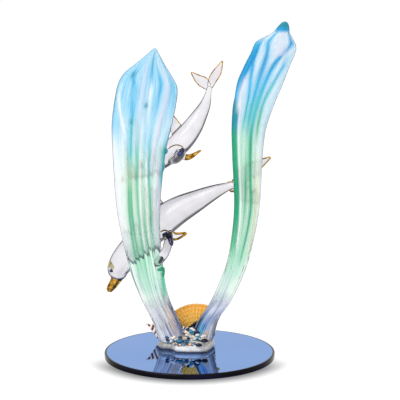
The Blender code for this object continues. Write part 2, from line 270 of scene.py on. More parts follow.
class Graph(Nodes):
    """A material's nodes, which end in its Principled shader."""

    def __init__(self, name: str) -> None:
        """Starts a material.

        Args:
            name: the material's name.
        """
        self.material = bpy.data.materials.new(name)
        self.material.use_nodes = True
        super().__init__(self.material.node_tree)
        self.shader = self.tree.nodes["Principled BSDF"]

    def finish(self, **inputs: object) -> Material:
        """Feeds the shader.

        Args:
            inputs: what it is fed, by input in lower case with underscores for spaces.

        Returns:
            The finished material.
        """
        names = {socket.name.lower().replace(" ", "_"): socket for socket in self.shader.inputs}
        for key, value in inputs.items():
            self.feed(names[key], value)
        return self.material

    def attribute(self, name: str, output: str = "Fac") -> Socket:
        """What the mesh keeps at each of its points under a name."""
        return self.add("Attribute", attribute_name=name).outputs[output]

    def objects(self, scale: Place = (1.0, 1.0, 1.0)) -> Socket:
        """Object coordinates, stretched by a factor on each axis."""
        place = self.add("TexCoord").outputs["Object"]
        return self.add("Mapping", {"Vector": place, "Scale": scale}).outputs["Vector"]

    def noise(self, vector: object, scale: float, detail: float = 2.0) -> Socket:
        """Noise from 0 to 1."""
        return self.add("TexNoise", {"Vector": vector, "Scale": scale, "Detail": detail}).outputs["Fac"]

    def ramp(self, value: object, stops: Stops) -> Socket:
        """A run of screen colours along a value.

        Args:
            value: what the colours follow.
            stops: pairs of a place from 0 to 1 and a screen colour.

        Returns:
            The colour output.
        """
        node = self.add("ValToRGB", {"Fac": value})
        elements = node.color_ramp.elements
        while len(elements) < len(stops):
            elements.new(0.5)
        for element, (place, code) in zip(elements, stops):
            element.position = place
            element.color = (*screen(code), 1.0)
        return node.outputs["Color"]

    def blend(self, share: object, first: object, second: object, kind: str = "MIX") -> Socket:
        """Mixes two colours.

        Args:
            share: how much of the second there is, from 0 to 1.
            first: the first colour.
            second: the second colour.
            kind: the way they are mixed.

        Returns:
            The colour output.
        """
        node = self.add("Mix", data_type="RGBA", blend_type=kind)
        colours = [socket for socket in node.inputs if socket.type == "RGBA"]
        self.feed(node.inputs["Factor"], share)
        for socket, value in zip(colours, (first, second)):
            self.feed(socket, value)
        return next(socket for socket in node.outputs if socket.type == "RGBA")

    def clouded(
        self,
        first: int,
        second: int,
        scale: float,
        edges: Span,
        detail: float = 2.0,
        stretch: Place = (1.0, 1.0, 1.0),
    ) -> Socket:
        """One screen colour with clouds of another in it.

        Args:
            first: the ground's colour.
            second: the clouds' colour.
            scale: how many clouds there are to a metre.
            edges: the noise where the clouds begin and where they are full.
            detail: how ragged they are.
            stretch: how much they are squeezed along each axis.

        Returns:
            The colour output.
        """
        cloud = self.noise(self.objects(stretch), scale, detail)
        return self.blend(self.step(cloud, *edges), first, second)

    def bump(self, height: object, strength: float, distance: float) -> Socket:
        """A surface normal from a height."""
        inputs = {"Height": height, "Strength": strength, "Distance": distance}
        return self.add("Bump", inputs).outputs["Normal"]


@dataclass(frozen=True)
class ClearGlass:
    """Colourless glass with a faint lilac cast and the soft waves of flame work.

    It has painted shade: it is greyer where it faces up, and darker where it is seen edge on,
    sooner on its underside.
    """

    name: str
    tint: int = 0xDBD9DE
    light: int = 0xEEECF0
    # Painted shade: a greyer colour for glass that faces up, and a dark outline colour for glass seen edge
    # on.
    top_shade: int = 0xB4B0BA
    outline: int = 0x14141C
    under: float = 0.40
    top_shade_share: float = 0.75
    top_shades: Span = (0.30, 0.85)
    edge_shade_from: Span = (0.42, 0.70)
    cloud_scale: float = 90.0
    ripple_scale: float = 220.0
    waviness: float = 0.12

    def make(self) -> Material:
        """Makes the material.

        Returns:
            The material.
        """
        graph = Graph(self.name)
        tone = graph.clouded(self.tint, self.light, self.cloud_scale, (0.35, 0.7), detail=1.0)
        up = graph.split(graph.add("NewGeometry").outputs["Normal"], "Z")
        # Painted shade: greyer where the glass faces up.
        tone = graph.blend(graph.times(graph.step(up, *self.top_shades), self.top_shade_share), tone, self.top_shade)
        # Painted shade: darker where the glass is seen edge on, and sooner on its underside.
        facing = graph.add("LayerWeight", {"Blend": 0.5}).outputs["Facing"]
        down = graph.calculate("MAXIMUM", graph.times(up, -self.under))
        edge_on = graph.step(graph.calculate("ADD", facing, down), *self.edge_shade_from)
        tone = graph.blend(edge_on, tone, graph.blend(1.0, tone, self.outline, "MULTIPLY"))
        ripple = graph.noise(graph.objects((1.0, 1.0, 0.6)), self.ripple_scale, 1.0)
        return graph.finish(
            base_color=tone,
            roughness=0.015,
            ior=GLASS_INDEX,
            transmission_weight=1.0,
            normal=graph.bump(ripple, self.waviness, 0.6 * MM),
        )


@dataclass(frozen=True)
class WaveGlass:
    """Clear glass with coloured canes in it, as the wave's own mesh gives them in its tint.

    Rods are the screen colours of the fine streaks drawn out in the foot, which end between two
    shares of the way up. The outline is the tone of the painted shade along the wave's two edges,
    and the low edge shade takes its place below.
    """

    name: str
    rods: Stops
    rods_end: Span
    rods_share: float = 0.75
    outline: int = 0x4A7484
    low_edge_shade: int = 0x20262C
    low_from: Span = (0.50, 0.36)
    edge_from: Span = (0.955, 0.995)
    edge_share: float = 0.8
    streak_scale: float = 1.6
    streak_squeeze: float = 11.0
    rod_scale: float = 1.9
    rod_squeeze: float = 9.0
    haze: float = 0.30
    ripple_scale: float = 260.0
    waviness: float = 0.06

    def streaked(self, graph: Graph, tint: Socket, across: Socket, share: Socket) -> Socket:
        """Draws pale and deep streaks up the glass.

        Args:
            graph: the material's nodes.
            tint: the colour of the canes and the glass round them.
            across: the place across the wave.
            share: the share of the way up it.

        Returns:
            The streaked colour, which stays truer where a cane covers the glass.
        """
        drawn = graph.vector(graph.times(across, self.streak_squeeze), share)
        streak = graph.noise(drawn, self.streak_scale, 3.0)
        bare = graph.calculate("MULTIPLY_ADD", graph.attribute("cover"), -0.48, 0.50)
        pale = graph.times(graph.step(streak, 0.50, 0.68), bare)
        colour = graph.blend(pale, tint, Glass.CLEAR.value)
        deep = graph.times(graph.step(streak, 0.47, 0.30), 0.6)
        return graph.blend(deep, colour, tint, "MULTIPLY")

    def rodded(self, graph: Graph, colour: Socket, across: Socket, share: Socket) -> Socket:
        """Draws the fine rods up through the foot.

        Args:
            graph: the material's nodes.
            colour: the colour so far.
            across: the place across the wave.
            share: the share of the way up it.

        Returns:
            The colour with the rods in it.
        """
        drawn = graph.vector(graph.times(across, self.rod_squeeze), 3.0, share)
        rods = graph.ramp(graph.noise(drawn, self.rod_scale, 1.0), self.rods)
        low = graph.step(share, self.rods_end[1], self.rods_end[0])
        return graph.blend(graph.times(low, self.rods_share), colour, rods)

    def shade_edges(self, graph: Graph, colour: Socket, across: Socket, share: Socket) -> Socket:
        """Darkens the wave's two edges with painted shade.

        Args:
            graph: the material's nodes.
            colour: the colour so far.
            across: the place across the wave.
            share: the share of the way up it.

        Returns:
            The colour with painted shade on its edges.
        """
        # Painted shade: darken the glass along both edges, in a darker tone low down.
        edge = graph.step(graph.calculate("ABSOLUTE", across), *self.edge_from)
        rim = graph.blend(graph.step(share, *self.low_from), self.outline, self.low_edge_shade)
        rim = graph.blend(1.0, colour, rim, "MULTIPLY")
        return graph.blend(graph.times(edge, self.edge_share), colour, rim)

    def make(self) -> Material:
        """Makes the material, which follows the mesh's tint, across, share, haze, milk and cover.

        Returns:
            The material.
        """
        graph = Graph(self.name)
        across, share = graph.attribute("across"), graph.attribute("share")
        colour = self.streaked(graph, graph.attribute("tint", "Color"), across, share)
        colour = self.rodded(graph, colour, across, share)
        colour = self.shade_edges(graph, colour, across, share)
        ripple = graph.noise(graph.objects((1.0, 1.0, 0.25)), self.ripple_scale)
        return graph.finish(
            base_color=colour,
            roughness=graph.calculate("MULTIPLY_ADD", graph.attribute("haze"), self.haze, 0.02),
            ior=GLASS_INDEX,
            transmission_weight=graph.calculate("SUBTRACT", 1.0, graph.attribute("milk")),
            specular_ior_level=0.35,
            normal=graph.bump(ripple, self.waviness, 0.6 * MM),
        )


@dataclass(frozen=True)
class MirrorFinish:
    """Blue mirrored glass: silver behind a tinted sheet, with faint clouding."""

    name: str
    tint: int = 0x85A9DC
    cloud: int = 0x8BAEE0
    sheen: int = 0xD6DEF0
    cloud_scale: float = 25.0
    roughness: float = 0.02

    def make(self) -> Material:
        """The material."""
        graph = Graph(self.name)
        return graph.finish(
            base_color=graph.clouded(self.tint, self.cloud, self.cloud_scale, (0.3, 0.8)),
            metallic=1.0,
            roughness=self.roughness,
            specular_tint=self.sheen,
        )


@dataclass(frozen=True)
class PolishedEdge:
    """The mirror's ground and polished rim, so dark a blue that it looks black."""

    name: str
    dark: int = 0x030308
    painted_glint: int = 0x0E0D30
    band_scale: float = 60.0
    roughness: float = 0.12
    gleam: float = 0.12

    def make(self) -> Material:
        """The material, with painted glints in flat bands round the rim."""
        graph = Graph(self.name)
        # Painted glints: paler bands round the rim.
        tone = graph.clouded(self.dark, self.painted_glint, self.band_scale, (0.4, 0.8), stretch=(1.0, 1.0, 9.0))
        return graph.finish(base_color=tone, roughness=self.roughness, specular_ior_level=self.gleam)


@dataclass(frozen=True)
class GoldLustre:
    """Fired gold lustre, thinned by wear in places so that it looks brown."""

    name: str
    bright: int = 0xDDA63C
    dark: int = 0x6E4A12
    metallic: float = 0.85
    wear_scale: float = 500.0
    roughness: float = 0.24

    def make(self) -> Material:
        """The material."""
        graph = Graph(self.name)
        tone = graph.clouded(self.bright, self.dark, self.wear_scale, (0.35, 0.65), detail=3.0)
        return graph.finish(base_color=tone, metallic=self.metallic, roughness=self.roughness)


@dataclass(frozen=True)
class ScallopFinish:
    """Amber shell with paler growth arcs, and painted shade in the valleys between its ribs."""

    name: str
    from_hinge: Stops = ((0.0, 0xFFD470), (0.5, 0xFFC048), (0.85, 0xFCB23A), (1.0, 0xE89C36))
    arc: int = 0xFFD27C
    arc_share: float = 0.5
    valley: int = 0xDC8E2C
    valley_share: float = 0.34
    grain: int = 0xFFD98A
    grain_share: float = 0.25
    grain_scale: float = 900.0

    def make(self) -> Material:
        """Makes the material, which follows the mesh's reach from hinge to rim and its shaded valleys.

        Returns:
            The material.
        """
        graph = Graph(self.name)
        reach = graph.attribute("reach")
        ridge = graph.calculate("SINE", graph.times(reach, GROWTH_ARCS))
        tone = graph.ramp(reach, self.from_hinge)
        tone = graph.blend(graph.times(graph.step(ridge, 0.1, 1.0), self.arc_share), tone, self.arc)
        # Painted shade: darker in the valleys between the ribs.
        dark = graph.times(graph.step(graph.attribute("valley"), 0.4, 1.0), self.valley_share)
        tone = graph.blend(dark, tone, self.valley)
        grain = graph.noise(graph.objects(), self.grain_scale, 3.0)
        tone = graph.blend(graph.times(graph.step(grain, 0.45, 0.75), self.grain_share), tone, self.grain)
        return graph.finish(
            base_color=tone,
            roughness=0.45,
            subsurface_weight=0.1,
            subsurface_radius=(2.0 * MM, 1.0 * MM, 0.5 * MM),
            normal=graph.bump(ridge, 0.2, 0.4 * MM),
        )


@dataclass(frozen=True)
class BandedShell:
    """Brown and cream bands wound round a spiral shell, two to each whorl."""

    name: str
    bands: Stops = ((0.25, 0xF6E9D8), (0.42, 0xE2B48C), (0.55, 0xA8562E), (0.8, 0x7A3A1E))
    spot_scale: float = 420.0
    spot_share: float = 1.4

    def make(self) -> Material:
        """Makes the material, which follows the mesh's share of the way round a whorl's section.

        Returns:
            The material.
        """
        graph = Graph(self.name)
        band = graph.calculate("SINE", graph.times(graph.attribute("round"), 4 * math.pi))
        spots = graph.noise(graph.objects(), self.spot_scale)
        uneven = graph.times(graph.calculate("SUBTRACT", spots, 0.5), self.spot_share)
        band = graph.calculate("ADD", band, uneven)
        tone = graph.ramp(graph.step(band, -1.0, 1.0), self.bands)
        return graph.finish(base_color=tone, roughness=0.32, normal=graph.bump(spots, 0.2, 0.3 * MM))


@dataclass(frozen=True)
class PebbleGlass:
    """Deeply coloured glass with paler clouds in it."""

    name: str
    deep: int
    pale: int
    transmission: float = 0.45
    gleam: float = 0.5
    index: float = 1.5
    cloud_scale: float = 320.0

    def make(self) -> Material:
        """The material."""
        graph = Graph(self.name)
        return graph.finish(
            base_color=graph.clouded(self.deep, self.pale, self.cloud_scale, (0.45, 0.8)),
            roughness=0.04,
            ior=self.index,
            transmission_weight=self.transmission,
            specular_ior_level=self.gleam,
        )


@dataclass(frozen=True)
class PuddleGlass:
    """Clear glass, milky white in its middle where frit is melted in, with a painted amber glint low down.

    White ends between two places to the left and right of the middle, and the painted glint between
    two heights.
    """

    name: str
    white: int = 0xFFFDF8
    cloud: int = 0xDCEAF2
    # The colour of the painted glint low down.
    amber: int = 0xC88A50
    middle: float = -1.0 * MM
    white_to: Span = (6.5 * MM, 10.0 * MM)
    glint_heights: Span = (5.2 * MM, 4.0 * MM)
    amber_share: float = 0.45
    cloud_scale: float = 260.0
    clear: float = 0.75
    milk: float = 0.38

    def make(self) -> Material:
        """Makes the material.

        Returns:
            The material.
        """
        graph = Graph(self.name)
        place = graph.objects()
        away = graph.calculate("ABSOLUTE", graph.calculate("SUBTRACT", graph.split(place, "X"), self.middle))
        milk = graph.step(away, self.white_to[1], self.white_to[0])
        cloud = graph.noise(place, self.cloud_scale)
        tone = graph.blend(graph.step(cloud, 0.45, 0.75), self.white, self.cloud)
        # Painted glint: amber low down in the glass, over the mirror.
        low = graph.step(graph.split(place, "Z"), *self.glint_heights)
        return graph.finish(
            base_color=graph.blend(graph.times(low, self.amber_share), tone, self.amber),
            roughness=0.03,
            ior=GLASS_INDEX,
            transmission_weight=graph.calculate("MULTIPLY_ADD", milk, -self.milk, self.clear),
            normal=graph.bump(cloud, 0.3, 0.8 * MM),
        )


@dataclass(frozen=True)
class GrainFinish:
    """Crushed shell and frit: dull grains with darker specks."""

    name: str
    colour: int
    speck: int
    speck_scale: float = 1500.0
    roughness: float = 0.4

    def make(self) -> Material:
        """The material."""
        graph = Graph(self.name)
        tone = graph.clouded(self.colour, self.speck, self.speck_scale, (0.5, 0.75))
        return graph.finish(base_color=tone, roughness=self.roughness)


@dataclass(frozen=True)
class FloorFinish:
    """A pale, evenly lit table top, with a soft contact shade in front of the mirror."""

    name: str
    body: Colour = (0.22, 0.22, 0.22)
    shaded_body: Colour = (0.05, 0.05, 0.05)
    glow: Colour = (1.0, 1.0, 1.0)
    shaded_glow: Colour = (0.25, 0.25, 0.26)
    strength: float = 0.86
    shade_reach: Span = (66.0 * MM, 49.0 * MM)
    shade_front: Span = (0.0, -30.0 * MM)

    def make(self) -> Material:
        """Makes the material.

        Returns:
            The material.
        """
        graph = Graph(self.name)
        place = graph.objects()
        reach = graph.add("VectorMath", {0: place}, operation="LENGTH").outputs["Value"]
        front = graph.step(graph.split(place, "Y"), *self.shade_front)
        shade = graph.times(graph.step(reach, *self.shade_reach), front)
        return graph.finish(
            base_color=graph.blend(shade, self.body, self.shaded_body),
            roughness=0.9,
            specular_ior_level=0.0,
            emission_color=graph.blend(shade, self.glow, self.shaded_glow),
            emission_strength=self.strength,
        )


class Former:
    """A closed form drawn out ring by ring from a circle."""

    def __init__(self, sides: int, marks: tuple[str, ...] = (), tinted: bool = False) -> None:
        """Starts the form.

        Args:
            sides: how many points each ring has.
            marks: names of the numbers that the mesh keeps at its points.
            tinted: whether it also keeps a colour, named tint.
        """
        self.mesh = bmesh.new()
        self.layers = {name: self.mesh.verts.layers.float.new(name) for name in marks}
        if tinted:
            self.layers["tint"] = self.mesh.verts.layers.float_color.new("tint")
        self.ring = list(bmesh.ops.create_circle(self.mesh, segments=sides, radius=1.0)["verts"])
        self.first: list[bmesh.types.BMVert] = []

    def draw(self, places: list[Vector], **marks: list[float]) -> None:
        """Adds the next ring.

        Args:
            places: the ring's points.
            marks: a list of numbers for each mark.
        """
        if self.first:
            self.ring = self.extrude(self.ring)
        else:
            self.first = self.ring
        for k, (vert, place) in enumerate(zip(self.ring, places)):
            vert.co = place * MM
            for name, values in marks.items():
                vert[self.layers[name]] = values[k]

    def extrude(self, ring: list[bmesh.types.BMVert]) -> list[bmesh.types.BMVert]:
        """Extrudes a ring's edges.

        Args:
            ring: the ring's points in order.

        Returns:
            The new ring's points in the same order.
        """
        pairs = zip(ring, ring[1:] + ring[:1])
        edges = [self.mesh.edges.get(pair) for pair in pairs]
        made = bmesh.ops.extrude_edge_only(self.mesh, edges=edges)["geom"]
        fresh = {item for item in made if isinstance(item, bmesh.types.BMVert)}
        return [next(e.other_vert(v) for e in v.link_edges if e.other_vert(v) in fresh) for v in ring]

    def close(self, start: Vector, end: Vector) -> Form:
        """Draws both ends in to a point each.

        Args:
            start: the point before the first ring.
            end: the point after the last ring.

        Returns:
            The closed mesh.
        """
        for ring, point in ((self.first, start), (self.ring, end)):
            cap = self.extrude(ring)
            for old, new in zip(ring, cap):
                for layer in self.layers.values():
                    new[layer] = old[layer]
            bmesh.ops.pointmerge(self.mesh, verts=cap, merge_co=Vector(point) * MM)
        bmesh.ops.recalc_face_normals(self.mesh, faces=self.mesh.faces)
        return self.mesh


def place_piece(name: str, mesh: Form, finish: Material, slot: str, *nodes: str) -> Piece:
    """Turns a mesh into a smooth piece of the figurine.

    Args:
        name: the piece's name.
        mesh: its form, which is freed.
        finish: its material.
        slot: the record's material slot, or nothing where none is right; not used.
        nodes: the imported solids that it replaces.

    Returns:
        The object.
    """
    data = bpy.data.meshes.new(name)
    mesh.to_mesh(data)
    mesh.free()
    data.shade_smooth()
    data.materials.append(finish)
    piece = bpy.data.objects.new(name, data)
    bpy.context.scene.collection.objects.link(piece)
    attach(piece, ROOT)
    if nodes:
        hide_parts(*nodes)
    LOG.info("%s: %d faces", name, len(data.polygons))
    return piece


def settle(piece: Piece) -> None:
    """Applies a piece's modifiers to its mesh.

    Args:
        piece: the piece, which keeps its mesh's name.
    """
    graph = bpy.context.evaluated_depsgraph_get()
    old = piece.data
    piece.data = bpy.data.meshes.new_from_object(piece.evaluated_get(graph))
    piece.modifiers.clear()
    piece.data.name = old.name
    piece.data.shade_smooth()


def blend_stops(stops: tuple[tuple[float, Glass], ...], share: float) -> Vector:
    """The colour at a share of the way along a run of colours.

    Args:
        stops: pairs of a share and a colour, the lowest share first.
        share: where to look.

    Returns:
        The linear colour.
    """
    if share <= stops[0][0]:
        return stops[0][1].shade()
    for (low, first), (high, second) in zip(stops, stops[1:]):
        if share <= high:
            part = (share - low) / (high - low)
            return first.shade().lerp(second.shade(), part * part * (3 - 2 * part))
    return stops[-1][1].shade()


@dataclass(frozen=True)
class Cane:
    """A streak of coloured glass drawn up inside a wave, with a groove in the surface over it.

    The path gives its place across, from -1 at the wave's left edge to 1 at its right one, for
    shares of the way up. The width is in the same units. The groove's depth is in millimetres,
    and the fade is the share of the way in which the cane begins and ends. A solid above 1 gives
    the cane a middle of even colour.
    """

    path: tuple[Span, ...]
    colours: tuple[tuple[float, Glass], ...]
    width: float = 0.09
    strength: float = 0.9
    groove: float = 0.45
    fade: float = 0.05
    solid: float = 1.0

    def presence(self, share: float) -> float:
        """How much of the cane there is at a share of the way up, from 0 to 1."""
        ends = (share - self.path[0][0], self.path[-1][0] - share)
        return within((min(ends) + self.fade) / self.fade)

    def at(self, share: float) -> tuple[Cane, float, Vector, float]:
        """The cane, and its place across, its colour and its presence at a share of the way up."""
        return self, Course(self.path).at(share), blend_stops(self.colours, share), self.presence(share)


def streaks(*canes: Cane) -> list[Cane]:
    """Makes fine streaks: canes with a hard edge, short ends and hardly a groove.

    Args:
        canes: the streaks as plain canes.

    Returns:
        The same canes as streaks.
    """
    return [replace(cane, groove=0.15, fade=0.015, solid=1.8) for cane in canes]


def full_canes(*canes: Cane) -> list[Cane]:
    """Makes canes of full colour with a hard edge, as on a fold or in a patch of melted glass.

    Args:
        canes: the canes without their strength.

    Returns:
        The same canes in full colour.
    """
    return [replace(cane, strength=1.0, solid=2.0) for cane in canes]


def flecks(*canes: Cane) -> list[Cane]:
    """Makes flecks: small spots of colour without a groove.

    Args:
        canes: the flecks as plain canes.

    Returns:
        The same canes as flecks.
    """
    return [replace(cane, width=0.06, groove=0.0) for cane in canes]


@dataclass
class Wave:
    """A tall ribbed blade of glass between its left and right edges.

    Edges are (x, z) pairs from the foot to the tip. Depth is the y of the blade's middle. Depth,
    thickness and relief, which is how much of its ribs and grooves there is, follow the share of
    the way up. Body is the colour of the glass round its canes. The glass is hazy and milky above
    one share of the way up, and milky again in the foot.
    """

    name: str
    slot: str
    edges: list[tuple[Span, Span]]
    depth: Course
    thickness: Course
    relief: Course
    ribs: int
    body: tuple[tuple[float, Glass], ...]
    canes: list[Cane]
    haze_from: float
    milk: float
    foot_milk: float
    sides: int = 224
    rings: int = 180
    rib_depth: float = 0.16
    wander: tuple[Span, ...] = ((0.35, 9.0), (0.2, 21.0))
    haze_fade: float = 0.1
    foot_milk_to: float = 0.16
    foot_milk_fade: float = 0.05
    tip_rise: float = 0.35
    seed: int = 1

    def even_angles(self, across: float, through: float) -> list[float]:
        """Angles that part an oval into equal lengths.

        Args:
            across: half the oval's width.
            through: half its thickness.

        Returns:
            One angle for each point of a ring.
        """
        steps = 720
        reached = [0.0]
        for k in range(steps):
            middle = 2 * math.pi * (k + 0.5) / steps
            reached.append(reached[-1] + math.hypot(across * math.sin(middle), through * math.cos(middle)))
        angles = []
        k = 0
        for i in range(self.sides):
            want = reached[-1] * i / self.sides
            while reached[k + 1] < want:
                k += 1
            part = (want - reached[k]) / (reached[k + 1] - reached[k])
            angles.append(2 * math.pi * (k + part) / steps)
        return angles

    def lay_canes(
        self, side: float, ground: Vector, sink: float, present: list
    ) -> tuple[Vector, float, float]:
        """Lays the canes of one level over a point.

        Args:
            side: the point's place across, from -1 to 1.
            ground: the colour of the glass there.
            sink: how far the ribs sink the point.
            present: the canes of the level, as each one's at method gives them.

        Returns:
            The point's colour, how far it sinks in all, and how much the canes cover it.
        """
        tint, cover = ground, 0.0
        for cane, place, tone, amount in present:
            fall = amount * min(cane.solid * math.exp(-(((side - place) / cane.width) ** 2)), 1.0)
            tint = tint.lerp(tone, min(fall * cane.strength, 1.0))
            sink += cane.groove * fall
            cover = max(cover, fall)
        return tint, sink, cover

    def draw_ring(
        self, former: Former, share: float, wander: float, oval: tuple[Vector, Vector, Vector]
    ) -> None:
        """Draws one level of the blade.

        Args:
            former: the form so far.
            share: the level's share of the way up.
            wander: how far the ribs have wandered sideways there.
            oval: its middle, half its width and half its thickness.
        """
        middle, across, through = oval
        relief = self.relief.at(share)
        ground = blend_stops(self.body, share)
        present = [cane.at(share) for cane in self.canes if cane.presence(share) > 0.0]
        places, sides, covers, tints = [], [], [], []
        for angle in self.even_angles(across.length, through.y):
            side = math.cos(angle)
            flute = abs(math.sin((side * self.ribs + wander) * math.pi / 2))
            tint, sink, cover = self.lay_canes(side, ground, self.rib_depth * (1 - flute), present)
            outward = across * (side / across.length**2) + through * (math.sin(angle) / through.y**2)
            point = middle + across * side + through * math.sin(angle)
            places.append(point - outward.normalized() * (sink * relief))
            sides.append(side)
            covers.append(cover)
            tints.append((*tint, 1.0))
        rough = within((share - self.haze_from) / self.haze_fade)
        sunken = self.foot_milk * within((self.foot_milk_to - share) / self.foot_milk_fade)
        hazes = [rough * (0.6 + 0.4 * cover) for cover in covers]
        milks = [
            self.milk * rough * (0.7 + 0.3 * cover) + sunken * within(1.9 - 1.9 * side)
            for cover, side in zip(covers, sides)
        ]
        level = [share] * self.sides
        former.draw(places, across=sides, share=level, haze=hazes, milk=milks, cover=covers, tint=tints)

    def form(self) -> Form:
        """Draws the blade, with its ribs, grooves and colours.

        Returns:
            The closed blade.
        """
        draw = random.Random(self.seed)
        phases = [draw.uniform(0.0, 2 * math.pi) for _ in self.wander]
        middles = [((left[0] + right[0]) / 2, (left[1] + right[1]) / 2) for left, right in self.edges]
        left_edge = Course.through([left for left, _ in self.edges], middles)
        right_edge = Course.through([right for _, right in self.edges], middles)
        former = Former(self.sides, ("across", "share", "haze", "milk", "cover"), tinted=True)
        for share in evenly(self.rings):
            left, right = left_edge.at(share), right_edge.at(share)
            across = Vector((right[0] - left[0], 0.0, right[1] - left[1])) / 2
            middle = Vector((left[0] + right[0], 2 * self.depth.at(share), left[1] + right[1])) / 2
            through = Vector((0.0, self.thickness.at(share) / 2, 0.0))
            swings = zip(self.wander, phases)
            wander = sum(size * math.sin(pace * share + phase) for (size, pace), phase in swings)
            self.draw_ring(former, share, wander, (middle, across, through))
        foot = Vector((sum(edge[0] for edge in self.edges[0]) / 2, self.depth.at(0.0), self.edges[0][0][1]))
        rise = Vector((0.0, 0.0, self.tip_rise * across.length))
        return former.close(foot, middle + rise)

    def build(self, finish: Material) -> None:
        """Makes the finished wave."""
        place_piece(self.name, self.form(), finish, self.slot, self.name)


@dataclass
class Blade:
    """A fin: a flat paddle with rounded edges along a path, its broad sides to front and back.

    A fin with gilding has it from a share of its path on: along its edge, or all over it where
    it is gilt whole. The girth is the gilding's over the dolphin's usual one.
    """

    name: str
    path: list[Place]
    half_widths: tuple[float, ...]
    thickness: float
    gilt_from: float | None = None
    gilt_whole: bool = False
    gilt_girth: float = 1.0
    narrowest: float = 0.3
    roundness: float = 0.7
    sides: int = 20
    rings: int = 28

    def section(self, share: float) -> tuple[Vector, Vector, Vector, float]:
        """Cuts across the blade.

        Args:
            share: the share of the way along its path.

        Returns:
            The cut's middle, its chord and its other axis as unit vectors, and its half width.
        """
        line = Course.through(self.path)
        widths = Course(tuple((s[0], w) for s, w in zip(line.stations, self.half_widths)))
        along = line.ahead(share, 0.02)
        chord = along.cross(BACKWARDS).normalized()
        return line.at(share), chord, chord.cross(along), max(widths.at(share), self.narrowest)

    def form(self, start: float = 0.0, proud: float = 0.0) -> Form:
        """Draws the blade, or a coat round the length of it from a share of its path to its tip.

        Args:
            start: the share of the path where the form begins.
            proud: how far it stands out from the glass.

        Returns:
            The closed form.
        """
        former = Former(self.sides)
        for share in evenly(self.rings):
            middle, chord, through, width = self.section(start + (1.0 - start) * share)
            thick = min(self.thickness / 2, width) + proud
            ring = []
            for angle in even_turns(self.sides):
                flat = math.copysign(abs(math.sin(angle)) ** self.roundness, math.sin(angle))
                ring.append(middle + chord * ((width + proud) * math.cos(angle)) + through * (thick * flat))
            former.draw(ring)
        line = Course.through(self.path)
        return former.close(line.at(start), line.at(1.0) + line.ahead(1.0) * (self.half_widths[-1] + proud))

    def rim(self, start: float, steps: int = 16) -> list[Vector]:
        """Points along one edge, round the tip and back along the other edge.

        Args:
            start: the share of the path where the rim begins.
            steps: how many points each edge has.

        Returns:
            The points.
        """
        out, back = [], []
        for share in evenly(steps):
            middle, chord, _, width = self.section(start + (1.0 - start) * share)
            out.append(middle + chord * width)
            back.append(middle - chord * width)
        line = Course.through(self.path)
        tip = line.at(1.0) + line.ahead(1.0) * self.half_widths[-1]
        return out + [tip] + back[::-1]


def wire(points: list[Vector], radius: float, sides: int = 8, taper: float = 4.0) -> Form:
    """A round wire through points, thinner towards both ends.

    Args:
        points: its middle line.
        radius: its greatest radius.
        sides: how many sides its section has.
        taper: how fast it thickens from its ends.

    Returns:
        The closed wire.
    """
    former = Former(sides)
    last = len(points) - 1
    for k, point in enumerate(points):
        along = (points[min(k + 1, last)] - points[max(k - 1, 0)]).normalized()
        from_depth = along.orthogonal() if abs(along.y) > 0.9 else along.cross(BACKWARDS)
        one = from_depth.normalized()
        two = along.cross(one)
        size = radius * min(1.0, (1.4 / taper) + taper * min(k, last - k) / len(points))
        former.draw([point + (one * math.cos(a) + two * math.sin(a)) * size for a in even_turns(sides)])
    return former.close(points[0], points[-1])


@dataclass(frozen=True)
class Mark:
    """A curved drop laid on a dolphin, thickest in its middle: gold lustre, or dark glass as painted shade.
    """

    name: str
    path: tuple[Place, ...]
    radius: float
    gilt: bool = False
    sides: int = 16
    taper: float = 2.2

    def form(self, steps: int = 24) -> Form:
        """The drop, through a number of points."""
        line = Course.through(list(self.path))
        return wire([line.at(share) for share in evenly(steps)], self.radius, self.sides, self.taper)


